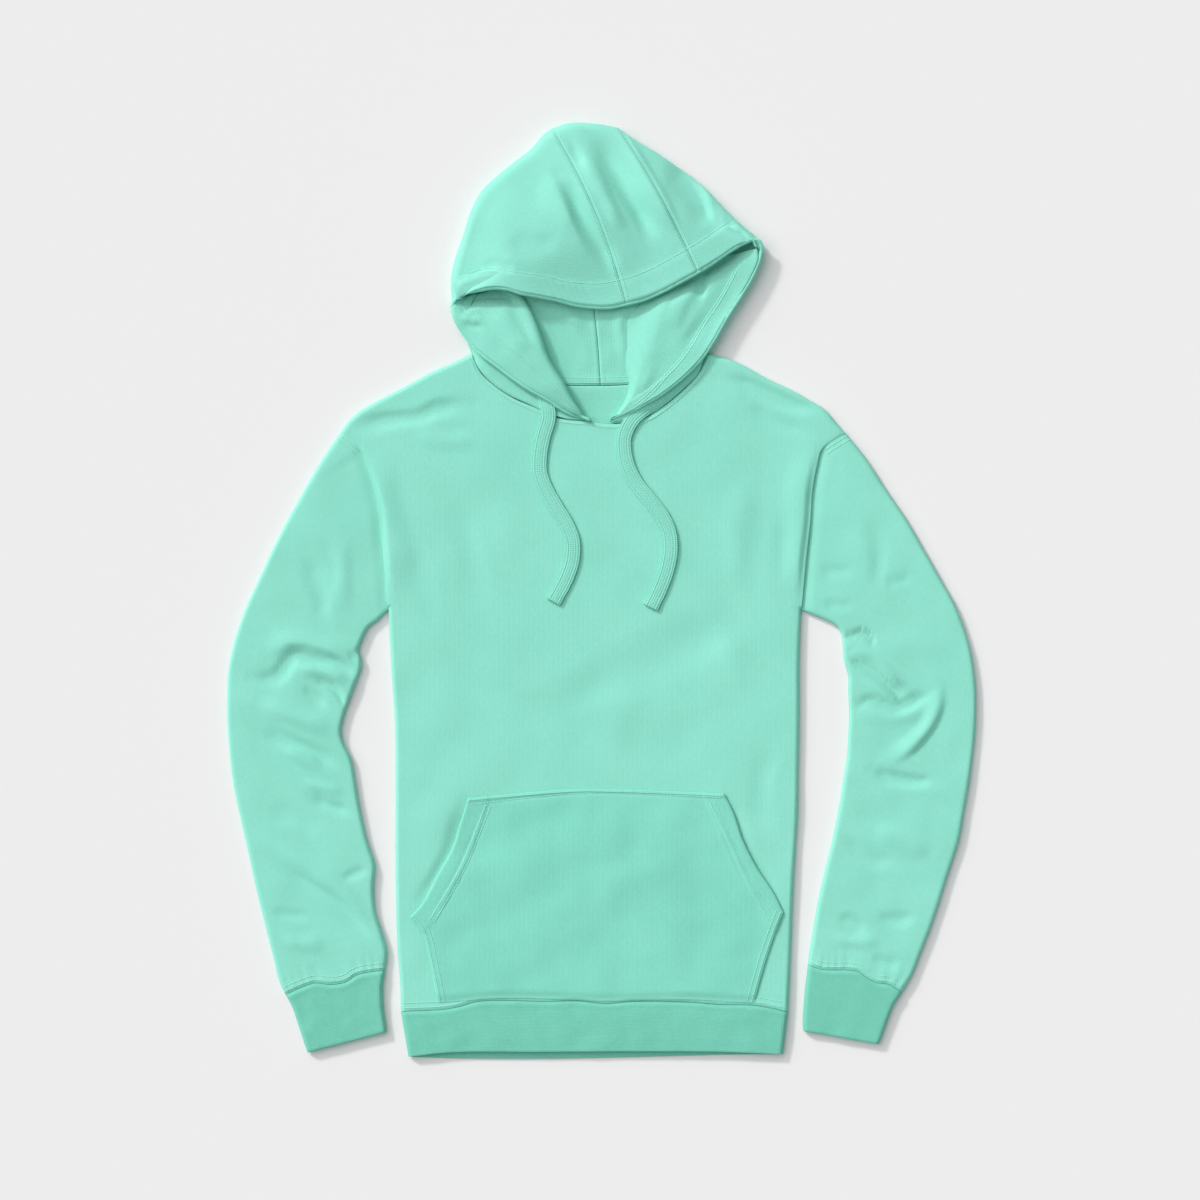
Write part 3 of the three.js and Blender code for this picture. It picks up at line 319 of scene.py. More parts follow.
def knit(name, colour, deep, wale, relief, streak, cloud, sheen):
    paint = bpy.data.materials.new(name)
    paint.use_nodes = True
    nodes, links = paint.node_tree.nodes, paint.node_tree.links
    shader = nodes["Principled BSDF"]
    shader.inputs["Roughness"].default_value = 0.93
    shader.inputs["Specular IOR Level"].default_value = 0.2
    shader.inputs["Sheen Weight"].default_value = sheen
    shader.inputs["Sheen Roughness"].default_value = 0.55
    shader.inputs["Sheen Tint"].default_value = (0.75, 1.0, 0.93, 1.0)
    cut = nodes.new("ShaderNodeUVMap")
    place = nodes.new("ShaderNodeTexCoord")

    def wave(direction, period, wobble):
        node = nodes.new("ShaderNodeTexWave")
        node.bands_direction = direction
        node.inputs["Scale"].default_value = 0.314 / (period * MM)
        node.inputs["Distortion"].default_value = wobble
        node.inputs["Detail"].default_value = 1.0
        node.inputs["Detail Scale"].default_value = 1.4
        links.new(cut.outputs["UV"], node.inputs["Vector"])
        return node.outputs["Fac"]

    def noise(source, scale, detail):
        node = nodes.new("ShaderNodeTexNoise")
        node.inputs["Scale"].default_value = scale
        node.inputs["Detail"].default_value = detail
        links.new(source, node.inputs["Vector"])
        return node.outputs["Fac"]

    def blend(kind, factor, first, second):
        node = nodes.new("ShaderNodeMath")
        node.operation = kind
        links.new(first, node.inputs[0])
        if isinstance(second, float):
            node.inputs[1].default_value = second
        else:
            links.new(second, node.inputs[1])
        if factor == 1.0:
            return node.outputs[0]
        return blend("MULTIPLY", 1.0, node.outputs[0], factor)

    wales = wave("X", wale, 1.2)
    courses = wave("Y", 0.8 * wale, 1.6)
    stitches = blend("MULTIPLY", 1.0, wales, courses)
    fibre = noise(place.outputs["Object"], 620.0, 3.0)
    clouds = noise(place.outputs["Object"], 11.0, 3.0)
    flecks = noise(place.outputs["Object"], 330.0, 2.0)
    tone = blend("ADD", 1.0, blend("MULTIPLY", 1.0, clouds, cloud), blend("MULTIPLY", 1.0, flecks, 0.5))
    tone = blend("ADD", 1.0, tone, blend("MULTIPLY", 1.0, wales, streak))
    ramp = nodes.new("ShaderNodeValToRGB")
    ramp.color_ramp.elements[0].position = 0.25
    ramp.color_ramp.elements[0].color = (*deep, 1.0)
    ramp.color_ramp.elements[1].position = 0.95
    ramp.color_ramp.elements[1].color = (*colour, 1.0)
    links.new(tone, ramp.inputs["Fac"])
    links.new(ramp.outputs["Color"], shader.inputs["Base Color"])
    grain = nodes.new("ShaderNodeBump")
    grain.inputs["Strength"].default_value = relief
    grain.inputs["Distance"].default_value = 0.0004
    links.new(blend("ADD", 1.0, stitches, fibre), grain.inputs["Height"])
    links.new(grain.outputs["Normal"], shader.inputs["Normal"])
    return paint


FLEECE_FACE = knit("mint_fleece", (0.31, 0.81, 0.665), (0.245, 0.72, 0.575), 1.25, 0.42, 0.12, 0.55, 0.16)
# The pocket's finish is a darker copy of the fleece: painted shade for the dimmer light over the lower front.
POCKET_SHADED_FACE = knit("mint_pocket_painted_shade", (0.265, 0.765, 0.615), (0.2, 0.665, 0.52), 1.25, 0.42, 0.12, 0.6, 0.14)
LINING_FACE = knit("mint_lining", (0.295, 0.79, 0.64), (0.235, 0.70, 0.555), 1.5, 0.5, 0.16, 0.45, 0.16)
RIB_FACE = knit("mint_rib", (0.215, 0.675, 0.53), (0.16, 0.57, 0.435), 1.7, 0.5, 0.16, 0.45, 0.14)
CORD_FACE = knit("mint_cord", (0.30, 0.79, 0.65), (0.235, 0.69, 0.55), 2.4, 0.8, 0.22, 0.3, 0.12)
THREAD = knit("mint_thread", (0.42, 0.88, 0.77), (0.34, 0.81, 0.68), 0.9, 0.4, 0.2, 0.3, 0.1)
print("finishes made:", len(bpy.data.materials))

# %% [markdown]
# The front of the body is one cut piece. Its side and shoulder edges are folds, where the cloth
# rolls under to meet the back; at the armholes it stands over the sleeve; at the neck and at the
# waistband it is pulled down into a seam. The heights follow from the distance to each edge.

# %% Outline of the body
LEFT_SIDE = [
    (-200.5, -420), (-201.2, -392), (-204, -355), (-205.8, -281), (-205.8, -183),
    (-206.5, -130), (-209.5, -85), (-212, -40), (-213, -17),
]
RIGHT_SIDE = [
    (186.2, -420), (188.8, -364), (191.9, -286.5), (195.5, -229), (196.5, -183),
    (197.5, -112), (197.3, -76), (199.5, -18),
]
LEFT_ARMHOLE = [
    (-213, -17), (-217.5, 31), (-221.5, 75), (-226, 98.4), (-233.5, 122), (-240, 141),
    (-249.5, 150), (-260.5, 159),
]
RIGHT_ARMHOLE = [
    (199.5, -18), (204.3, 31), (208.3, 68), (210.5, 99.5), (215.5, 127), (219.5, 141),
    (231, 149.5), (243.8, 157.5),
]
LEFT_SHOULDER = [
    (-260.5, 159), (-252.5, 170), (-242.5, 179), (-227.5, 188), (-198.5, 203),
    (-168.8, 219), (-142.5, 230.5), (-130, 237),
]
RIGHT_SHOULDER = [
    (107.5, 237), (134.2, 229), (166, 212), (191.5, 200), (210.5, 189), (223.5, 181),
    (234.5, 168), (243.8, 157.5),
]
FRONT_NECK = [
    (-130, 237), (-121, 218), (-107.5, 205), (-87.5, 192), (-62.5, 181.5), (-45.5, 173),
    (-28.5, 170.5), (-11.5, 169), (5.5, 166.5), (22.5, 167.5), (43.5, 172.4), (59.5, 182),
    (80.5, 199), (97.5, 217), (107.5, 237),
]
BACK_NECK = [
    (-130, 237), (-109.5, 226), (-79.5, 214), (-52.5, 207.4), (-34.5, 205.2), (0, 205),
    (31, 206.3), (54, 211), (79, 221.5), (107.5, 237),
]
BAND_SEAM = [
    (-200.5, -420), (-151.5, -417), (-123.5, -410), (-95.5, -409), (-53.5, -410),
    (-25.5, -409), (3, -412), (31, -409.7), (87.5, -410.5), (120.5, -413), (154.5, -414),
    (186.2, -420),
]
FLEECE = 2.2
RIB = 2.6
BODY_TOP = 7.6
SEAM_SHARE = 0.84
even = np.linspace(0.0, 1.0, 61)
armhole_lines = [through(LEFT_ARMHOLE, even), through(RIGHT_ARMHOLE, even)]
rolled_lines = [through(line, even) for line in (LEFT_SIDE, RIGHT_SIDE, LEFT_SHOULDER, RIGHT_SHOULDER)]
neck_line = through(FRONT_NECK, even)
band_line = through(BAND_SEAM, even)
print("neck seam on the front:", round(float(np.linalg.norm(np.diff(neck_line, axis=0), axis=1).sum())), "mm")

# %% [markdown]
# The chest is nearly smooth: soft slanting valleys from the shoulders, a ridge where the body
# stands over each sleeve, and broad low swells above the pocket.

# %% Folds of the body
BODY_FOLDS = [
    (2.4, 6, 26, [(-206, -10), (-211, 35), (-215, 78), (-220, 100), (-228, 124), (-235, 141)]),
    (3.0, 24, 5, [(194, -12), (197, 33), (201, 70), (203, 100), (208, 127), (213, 142)]),
    (-3.6, 10, 13, [(-248, 163.5), (-224, 169.5), (-202, 172.5), (-180, 175.5), (-165, 182.5), (-129, 185.5)]),
    (-3.0, 10, 13, [(118, 215), (137, 209.5), (161, 198.5), (181, 190.5), (200, 183.5), (219, 180)]),
    (-1.6, 13, 14, [(146, 190), (166, 174), (190, 163), (206, 157)]),
    (1.2, 14, 14, [(-190, 160), (-160, 150), (-120, 152)]),
    (-1.6, 40, 40, [(10, -165), (60, -150), (110, -148)]),
    (1.6, 42, 42, [(-180, -260), (-150, -215), (-110, -150)]),
    (-1.8, 36, 30, [(-60, -120), (10, -90), (80, -60), (150, -20)]),
    (1.6, 46, 60, [(-150, -300), (-40, -262), (60, -232)]),
    (1.4, 40, 40, [(-70, -330), (30, -290), (110, -250)]),
    (-1.0, 22, 26, [(-170, -60), (-100, -105), (-20, -130)]),
    (1.1, 26, 22, [(20, 60), (70, 20), (120, -40), (150, -110)]),
    (-1.0, 20, 24, [(-150, 100), (-130, 40), (-120, -30)]),
    (1.0, 18, 20, [(150, 120), (135, 60), (140, 0)]),
    (-0.5, 14, 18, [(-190, 60), (-175, 10), (-168, -50)]),
    (0.5, 16, 16, [(175, 90), (168, 30), (172, -30)]),
    (-1.0, 16, 20, [(170, -150), (160, -200), (165, -250)]),
    (0.9, 20, 20, [(-195, -300), (-185, -340), (-188, -390)]),
]
OPENING_DIPS = [
    (-2.2, 13, 5, [(-186, -322), (-179.5, -312), (-162.5, -281), (-148.5, -255.6), (-141.5, -233), (-134, -208)]),
    (-1.4, 5, 13, [(177, -315), (171.5, -300.5), (154.5, -275), (140.5, -247), (132.1, -222), (124, -205)]),
]


def body_height(x, y):
    """Upper face of the front."""
    full = BODY_TOP + fold_height(BODY_FOLDS + OPENING_DIPS, x, y) + waves(x, y, 3, 110.0, 0.42)
    full = np.maximum(full, 5.3)
    rolled = np.min([beside(line, x, y)[0] for line in rolled_lines], axis=0)
    height = mix(1.0, full, quarter_round(rolled, 3.6))
    for line in armhole_lines:
        distance, _, along = beside(line, x, y)
        sewn = smooth((along - SEAM_SHARE) / 0.05)
        rim = mix(7.1, 6.4, sewn)
        height = np.minimum(height, mix(rim, full, quarter_round(distance, mix(5.5, 4.5, sewn))))
    sewn = seam_dip(beside(neck_line, x, y)[0], 0.4, 1.9) + seam_dip(beside(band_line, x, y)[0], 0.9, 2.2)
    return height + sewn * smooth(rolled / 12.0)


def patch(left, right, bottom, top):
    """Grid between four edges: straight up from the foot, with the side bends fading inwards."""
    v = ((left[:, 1] - left[0, 1]) / (left[-1, 1] - left[0, 1]))[:, None, None]
    u = ((bottom[:, 0] - bottom[0, 0]) / (bottom[-1, 0] - bottom[0, 0]))[None, :, None]
    places = mix(bottom[None], top[None], v)
    bend_left = left[:, None] - mix(left[0], left[-1], v)
    bend_right = right[:, None] - mix(right[0], right[-1], v)
    return places + bend_left * smooth(1 - u / 0.3) + bend_right * smooth(1 - (1 - u) / 0.3)


def with_height(plan, height):
    return np.dstack([plan, height(plan[..., 0], plan[..., 1])])


def joined_shares(first, second):
    return np.vstack([first, second[1:]])


# %% Front and back of the body
CELL = 3.4
side_shares = graded(405.0, CELL)
arm_shares = graded(185.0, CELL)
left_edge = joined_shares(through(LEFT_SIDE, side_shares), through(LEFT_ARMHOLE, arm_shares))
right_edge = joined_shares(through(RIGHT_SIDE, side_shares), through(RIGHT_ARMHOLE, arm_shares))
shoulder_shares = graded(155.0, CELL)
neck_shares = graded(305.0, CELL, 6.0)


def top_edge(neck):
    left = through(LEFT_SHOULDER, shoulder_shares)
    right = through(RIGHT_SHOULDER, shoulder_shares)
    return joined_shares(joined_shares(left, through(neck, neck_shares)), right)


front_top = top_edge(FRONT_NECK)
foot_shares = (front_top[:, 0] - front_top[0, 0]) / (front_top[-1, 0] - front_top[0, 0])
foot = offset_line(through(BAND_SEAM, foot_shares), 0.3)
foot[0], foot[-1] = left_edge[0], right_edge[0]
front_places = with_height(patch(left_edge, right_edge, foot, front_top), body_height)
cloth("front_panel", front_places, FLEECE_FACE, ["front_panel"], FLEECE, outside=(60, 60), level=True)

BACK_INSET = 3.0
back_left = offset_line(left_edge[::2], -BACK_INSET)
back_right = offset_line(right_edge[::2], BACK_INSET)
back_top = top_edge(BACK_NECK)[::2]
back_foot = foot[::2] + (0.0, 0.5)
back_plan = patch(back_left, back_right, back_foot, back_top)
inside = ((back_plan[..., 0] - 0.0) / 200.0) ** 2
back_height = FLEECE + 0.5 * smooth(1.0 - inside) * (1.0 + waves(back_plan[..., 0], back_plan[..., 1], 8, 60.0))
back_neck_away = beside(through(BACK_NECK, even), back_plan[..., 0], back_plan[..., 1])[0]
back_height += 2.0 * (1.0 - smooth(back_neck_away / 34.0)) - 0.4 * (1.0 - smooth(back_neck_away / 3.0))
back_places = np.dstack([back_plan, np.clip(back_height, 1.9, 4.6)])
cloth("back_panel", back_places, LINING_FACE, ["back_panel"], 1.9, outside=(30, 30), level=True)

# %% [markdown]
# A sleeve is a tube that lies flat, with one fold at its outer side and one at its inner side. Each
# row goes over the top from the outer fold to the inner one and back below. The long creases at the
# elbow and above the cuff are the garment's strongest folds, so they are placed one by one.

# %% Sleeve tables
LEFT_SLEEVE = [
    (-279.5, 131, -217.5, -23, 12), (-301.5, 93, -224.5, -30, 9), (-320.5, 58, -233.5, -37, 6),
    (-339.5, 18, -239.5, -49, 3), (-356.5, -20, -242.5, -58, 0), (-366.5, -49, -239.7, -74, 0),
    (-372.5, -77, -245, -90, 0), (-374, -103, -250.5, -104.7, 0), (-374, -126, -258.5, -128, 0),
    (-372.5, -151, -260.5, -142, 0), (-370.5, -174, -256, -156, 0), (-368, -192, -250.5, -167, 0),
    (-365, -208, -246.5, -187, 0), (-361.5, -224, -243.5, -206.5, 0), (-354.5, -254, -235.5, -244.5, 0),
    (-349.5, -277, -231, -259, 0), (-344.5, -300, -226.5, -274, 0), (-336.5, -332, -228, -296, 0),
    (-331.5, -352, -225.5, -322, 0), (-327, -370, -219, -342, 0), (-322.5, -389, -214.5, -360, 0),
]
RIGHT_SLEEVE = [
    (261.5, 136, 206.5, -22, 12), (284.5, 101, 216.5, -26, 9), (303.5, 73, 225.5, -30, 6),
    (322.5, 40, 234.5, -35, 3), (339.5, 10, 239.5, -42, 0), (353.5, -15, 241, -54, 0),
    (364.5, -44, 242.5, -70, 0), (370.5, -69, 246.5, -85, 0), (373.5, -94, 246.5, -100, 0),
    (374, -121, 247.5, -121, 0), (372.5, -148, 246.5, -144, 0), (369.5, -174, 245, -166, 0),
    (366, -199, 241.5, -189, 0), (361.5, -224, 238, -211, 0), (357, -249, 234.5, -230, 0),
    (351.5, -267, 230.5, -249, 0), (345.5, -285, 225.5, -270, 0), (338, -309, 219.5, -295, 0),
    (330, -333, 215.5, -314, 0), (318, -364, 210, -346, 0), (310.5, -383, 207.5, -361, 0),
]
LEFT_CUFF_SEAM = [
    (-315.8, -403.5), (-302, -397), (-285.5, -391.5), (-270.5, -393), (-255.5, -390.6),
    (-242.8, -383), (-216.5, -378.6),
]
RIGHT_CUFF_SEAM = [
    (299.9, -401), (287, -393), (274.5, -391), (264.5, -386), (256, -380), (247.5, -378.6),
    (221.5, -378), (206.1, -373.5),
]
LEFT_CUFF = [
    (-311, -411.5, -217.7, -387, 0), (-307.5, -420, -218.8, -396, 0), (-301, -440, -218, -416, 0),
    (-296, -455, -215.5, -434, 0), (-293.9, -461, -214.8, -440.5, 0),
]
RIGHT_CUFF = [
    (296, -407, 205.2, -382, 0), (292.5, -412, 204, -391, 0), (287, -425, 202.5, -407, 0),
    (280, -445, 201, -431, 0), (276.8, -452.5, 201.6, -439.5, 0),
]
LEFT_SLEEVE_FOLDS = [
    (-3.6, 3.5, 3.5, [(-239.9, -56.9), (-245.9, -62.9), (-251.9, -69.4)]),
    (2.6, 18, 4, [(-335, -66), (-308, -53), (-280, -58.5), (-250, -67)]),
    (-6.4, 9.5, 8, [
        (-350, -87.5), (-335, -88), (-324, -86), (-313.7, -74), (-305.7, -65),
        (-285, -69.3), (-269, -71.5), (-256, -77), (-240, -84),
    ]),
    (3.0, 9, 8, [(-305, -80), (-290, -79), (-268, -83), (-250, -91)]),
    (-4.2, 6, 4, [(-288, -91), (-276, -92.5), (-267, -98), (-256, -115)]),
    (-2.0, 8, 9, [(-299.6, -97.4), (-287.1, -105.4), (-274.6, -116.0)]),
    (2.6, 14, 13, [(-345, -110), (-318, -121), (-292, -131), (-266, -138)]),
    (-3.4, 11, 14, [(-340, -138), (-317, -147), (-299, -155), (-281, -164), (-258, -177)]),
    (2.0, 10, 12, [(-320, -158), (-300, -163), (-276, -176)]),
    (-2.4, 8, 9, [(-290, -205), (-273, -214), (-250, -220)]),
    (1.6, 9, 9, [(-300, -190), (-280, -196), (-256, -200)]),
    (2.2, 15, 9, [(-333, -250), (-303, -270), (-281, -285), (-262, -298), (-243, -318), (-225, -342)]),
    (-2.0, 7, 13, [
        (-333.2, -264.9), (-305.2, -283.4), (-283.2, -297.9), (-264.2, -310.9), (-244.2, -331.9), (-223.7, -355.9)]),
    (-1.8, 7, 7, [(-259.2, -288.9), (-247.7, -282.9), (-232.7, -276.9)]),
    (-1.5, 8, 8, [(-330.9, -320.7), (-312.4, -323.2), (-289.9, -324.2)]),
    (1.6, 12, 12, [(-320, -345), (-300, -352), (-275, -350)]),
    (-1.6, 14, 14, [(-295.5, 36.2), (-280.5, -3.8), (-278.5, -33.8)]),
    (1.4, 14, 14, [(-262, 60), (-258, 10), (-262, -25)]),
    (-1.3, 16, 16, [(-334.8, -219.3), (-304.8, -226.3), (-279.8, -244.3)]),
]
RIGHT_SLEEVE_FOLDS = [
    (-5.6, 4, 5, [(240.6, -46.3), (253.6, -42.3), (264.1, -43.3), (274.1, -55.3)]),
    (3.4, 10, 9, [(246, -57), (266, -69), (286, -84), (305, -98)]),
    (-6.4, 15, 3.4, [(246.0, -66.8), (262.0, -76.3), (278.0, -89.8), (292.0, -102.8), (304.0, -110.8)]),
    (-4.6, 11, 5, [
        (255.1, -116.6), (266.1, -110.0), (282.1, -114.0), (298.1, -117.5), (310.6, -113.0), (328.1, -103.0)]),
    (1.3, 10, 11, [(250, -127), (270, -123), (292, -127), (312, -122), (328, -112)]),
    (3.9, 7, 15, [(336, -90), (336, -114), (328, -134), (316, -149), (304, -160), (287, -170)]),
    (-4.0, 7, 11, [(270, -177), (287.4, -185), (305.4, -188), (333, -189.5)]),
    (-1.4, 8, 8, [(220.1, -14.2), (235.6, -14.2), (252.1, -15.2)]),
    (-1.2, 8, 8, [(217.1, 17.8), (234.6, 19.8), (252.1, 19.8)]),
    (-1.2, 9, 9, [(281.4, 7.6), (295.9, 9.6), (310.4, 12.6)]),
    (2.0, 18, 18, [(270, -235), (300, -250), (330, -262)]),
    (-1.8, 12, 12, [(239.9, -243.2), (265.9, -265.2), (293.9, -273.2)]),
    (-1.8, 10, 10, [(273.2, -324.7), (291.7, -328.7), (313.2, -324.7)]),
    (-1.8, 10, 10, [(235.2, -324.7), (250.7, -330.7), (265.2, -340.7)]),
    (-1.9, 9, 9, [(268.9, -364.4), (284.4, -371.4), (298.9, -372.4)]),
    (1.6, 10, 10, [(228, -345), (250, -350), (280, -348)]),
    (-1.4, 14, 14, [(266.5, 76.2), (276.5, 36.2), (272.5, -3.8)]),
]

# %% [markdown]
# The top edge of the tube slips under the body at the armhole and rises to meet it in the seam near
# the shoulder. Where the wide sleeve is sewn to the tight cuff, the spare cloth stands in gathers.

# %% Sleeves and cuffs
TUBE_EDGE = 2.2
EDGE_ROUND = 3.6
SLEEVE_TOP = 7.4
TUCK = 2.4


def section_line(section, shares):
    xo, yo, xi, yi, bow = section
    outer, run = np.array([xo, yo]), np.array([xi - xo, yi - yo])
    aside = np.array([-run[1], run[0]]) / np.linalg.norm(run) * (1 if xo < 0 else -1)
    shares = np.asarray(shares)[:, None]
    return outer + run * shares + aside * bow * 4.0 * shares * (1.0 - shares)


def tube_plan(lines, shares, rows):
    """Places on the table for each row of a tube, from lines across it at the given shares."""
    across = np.array([line(shares) for line in lines])
    return np.stack([through(across[:, k], rows) for k in range(len(shares))], axis=1)


def tube_places(lines, rows, top, cell):
    over_shares = graded(125.0, cell)
    under_shares = np.linspace(0.0, 1.0, 22)[1:-1][::-1]
    over = tube_plan(lines, over_shares, rows)
    under = tube_plan(lines, under_shares, rows)
    width = np.linalg.norm(over[:, -1] - over[:, 0], axis=1)[:, None]
    inset = np.minimum(over_shares, 1.0 - over_shares)[None] * width
    top_height = mix(TUBE_EDGE, top(over[..., 0], over[..., 1]), quarter_round(inset, EDGE_ROUND))
    below = np.minimum(under_shares, 1.0 - under_shares)[None] * width
    under_height = TUBE_EDGE * (1.0 - quarter_round(below, EDGE_ROUND))
    upper, lower = np.dstack([over, top_height]), np.dstack([under, under_height])
    return np.concatenate([upper, lower, upper[:, :1]], axis=1)


def make_sleeve(name, sections, armhole, cuff_seam, folds, seed):
    left = name.endswith("left")
    tucked = offset_line(through(armhole, even), -TUCK if left else TUCK)
    cuff_line = through(cuff_seam, even)
    arm_line = through(armhole, even)

    def top(x, y):
        full = SLEEVE_TOP + fold_height(folds, x, y) + waves(x, y, seed, 85.0, 0.38)
        near_cuff, _, along_cuff = beside(cuff_line, x, y)
        chance = np.sin(2 * np.pi * (6.0 * along_cuff + 0.9 * np.sin(9.0 * along_cuff + seed)))
        full += 0.45 * chance * (1.0 - smooth(near_cuff / 26.0)) * smooth(near_cuff / 5.0)
        full = np.maximum(full, 4.9) + seam_dip(near_cuff, 1.0, 2.6)
        distance, _, along = beside(arm_line, x, y)
        sewn = smooth((along - SEAM_SHARE + 0.03) / 0.1)
        full -= 1.4 * (1.0 - smooth(distance / 60.0)) * (1.0 - sewn)
        return mix(mix(4.5, 6.7, sewn), full, smooth(distance / 12.0))

    def armhole_line(shares):
        return through(tucked[::-1], shares)

    lines = [armhole_line]
    lines += [lambda shares, section=section: section_line(section, shares) for section in sections]
    lines.append(lambda shares: offset_line(through(cuff_seam, shares), 0.3 if left else -0.3))
    places = tube_places(lines, graded(480.0, 3.2, 8.0), top, 2.9)
    return cloth(name, places, FLEECE_FACE, [name], FLEECE, tube=True, outside=(60, 20))


def make_cuff(name, sections, cuff_seam, seed):
    cuff_line = through(cuff_seam, even)
    end = section_line(sections[-1], even)

    def top(x, y):
        near_seam = beside(cuff_line, x, y)[0]
        near_end = beside(end, x, y)[0]
        full = SLEEVE_TOP + 0.5 + waves(x, y, seed, 40.0, 0.25) + seam_dip(near_seam, 1.2, 2.6)
        return full - 1.6 * (1.0 - quarter_round(near_end, 3.0))

    lines = [lambda shares: through(cuff_seam, shares)]
    lines += [lambda shares, section=section: section_line(section, shares) for section in sections]
    places = tube_places(lines, graded(60.0, 2.6, 6.0), top, 2.6)
    return cloth(name, places, RIB_FACE, [name], RIB, tube=True, outside=(8, 20))


make_sleeve("sleeve_left", LEFT_SLEEVE, LEFT_ARMHOLE, LEFT_CUFF_SEAM, LEFT_SLEEVE_FOLDS, 11)
make_sleeve("sleeve_right", RIGHT_SLEEVE, RIGHT_ARMHOLE, RIGHT_CUFF_SEAM, RIGHT_SLEEVE_FOLDS, 12)
make_cuff("cuff_left", LEFT_CUFF, LEFT_CUFF_SEAM, 13)
make_cuff("cuff_right", RIGHT_CUFF, RIGHT_CUFF_SEAM, 14)

# %% [markdown]
# The waistband is a folded band of rib knit, one tube round the hips. It lies flat, the front edge
# a little above the back edge, so a strip of the back shows below it in shadow.

# %% Waistband
FRONT_HEM = [(-193, -465), (-150, -460.5), (-60, -460), (40, -459.5), (120, -460), (181, -462.5)]
BACK_HEM = [(-193, -465.5), (-150, -466.8), (-60, -467.3), (40, -465.5), (120, -463.5), (181, -463)]
BAND_TOP = 7.6
hem_line = through(FRONT_HEM, even)


def band_height(x, y):
    near_seam = beside(band_line, x, y)[0]
    near_hem = beside(hem_line, x, y)[0]
    swell = 0.5 * smooth(near_seam / 14.0) * smooth(near_hem / 14.0)
    height = BAND_TOP + swell + waves(x, y, 21, 50.0, 0.3) + seam_dip(near_seam, 1.0, 2.4)
    return height - 0.6 * (1.0 - quarter_round(near_hem, 2.0))


over_shares = graded(390.0, 3.2)
under_shares = np.linspace(0.0, 1.0, 66)[1:-1][::-1]
band_rows = graded(50.0, 2.6, 6.0)[:, None, None]
band_over = mix(through(BAND_SEAM, over_shares)[None], through(FRONT_HEM, over_shares)[None], band_rows)
band_under = mix(through(BAND_SEAM, under_shares)[None], through(BACK_HEM, under_shares)[None], band_rows)
band_inset = (np.minimum(over_shares, 1 - over_shares) * 387.0)[None]
band_over_z = mix(TUBE_EDGE, band_height(band_over[..., 0], band_over[..., 1]), quarter_round(band_inset, EDGE_ROUND))
band_under_z = TUBE_EDGE * (1 - quarter_round((np.minimum(under_shares, 1 - under_shares) * 387.0)[None], EDGE_ROUND))
band_under_z = np.repeat(band_under_z, len(band_rows), axis=0)
band_upper = np.dstack([band_over, band_over_z])
band_places = np.concatenate([band_upper, np.dstack([band_under, band_under_z]), band_upper[:, :1]], axis=1)
cloth("waistband", band_places, RIB_FACE, ["waistband"], 1.4, tube=True, outside=(10, 60))

# %% [markdown]
# The pocket is one flat piece laid on the front. Its slanted hand openings and its top are hemmed,
# so the cloth is double there and stands a little higher; every edge is held down by stitches.

# %% Pocket
POCKET_LEFT = [(-163.5, -411), (-171, -373.5), (-179.5, -340), (-191.2, -325.2)]
POCKET_LEFT_OPENING = [
    (-191.2, -325.2), (-179.5, -312), (-162.5, -281), (-148.5, -255.6), (-141.5, -233), (-133.1, -206),
]
POCKET_RIGHT = [(152.5, -411), (162.9, -373.5), (174.2, -340), (181.7, -320.7)]
POCKET_RIGHT_OPENING = [
    (181.7, -320.7), (171.5, -300.5), (154.5, -275), (140.5, -247), (132.1, -222), (122.2, -201.5),
]
POCKET_TOP = [(-133.1, -206), (-27.9, -197.3), (3, -197.3), (122.2, -201.5)]
POCKET_FOOT = [(-163.5, -411), (-95.5, -406), (3, -409), (87.5, -407.5), (152.5, -411)]
POCKET_STITCHES = [
    [(-113.5, -213.5), (-123.5, -239), (-140, -278), (-169.5, -328.6)],
    [(109.5, -210.7), (129.5, -253), (143.5, -284), (168.5, -328.6)],
    [(-131, -213), (-25.5, -202), (60, -203.5), (119.5, -206)],
]
pocket_openings = [through(POCKET_LEFT_OPENING, even), through(POCKET_RIGHT_OPENING, even)]
pocket_top_line = through(POCKET_TOP, even)
pocket_sides = [through(POCKET_LEFT, even), through(POCKET_RIGHT, even)]
pocket_folds = [(0.55, 2.6, 2.6, line) for line in POCKET_STITCHES[:2]]
pocket_folds += [(-0.5, 1.8, 1.8, offset_line(through(line, even), 3.4)) for line in POCKET_STITCHES[:2]]
pocket_folds += [(-0.5, 1.8, 1.8, offset_line(through(line, even), -3.4)) for line in POCKET_STITCHES[:2]]
pocket_folds.append((-1.0, 2.4, 2.0, POCKET_STITCHES[2]))


def pocket_height(x, y):
    opening = np.min([beside(line, x, y)[0] for line in pocket_openings], axis=0)
    top = beside(pocket_top_line, x, y)[0]
    side = np.min([beside(line, x, y)[0] for line in pocket_sides], axis=0)
    edge = np.minimum(np.minimum(opening, top), side)
    hems = 0.5 * smooth((22.0 - opening) / 3.0) + 0.5 * smooth((5.5 - top) / 2.0)
    lift = mix(0.8, 2.3, quarter_round(edge, 2.8)) + hems + fold_height(pocket_folds, x, y)
    lift += waves(x, y, 31, 70.0, 0.3) * smooth(edge / 12.0) - fold_height(OPENING_DIPS, x, y)
    lift *= mix(0.25, 1.0, smooth(beside(through(POCKET_FOOT, even), x, y)[0] / 9.0))
    return body_height(x, y) + lift


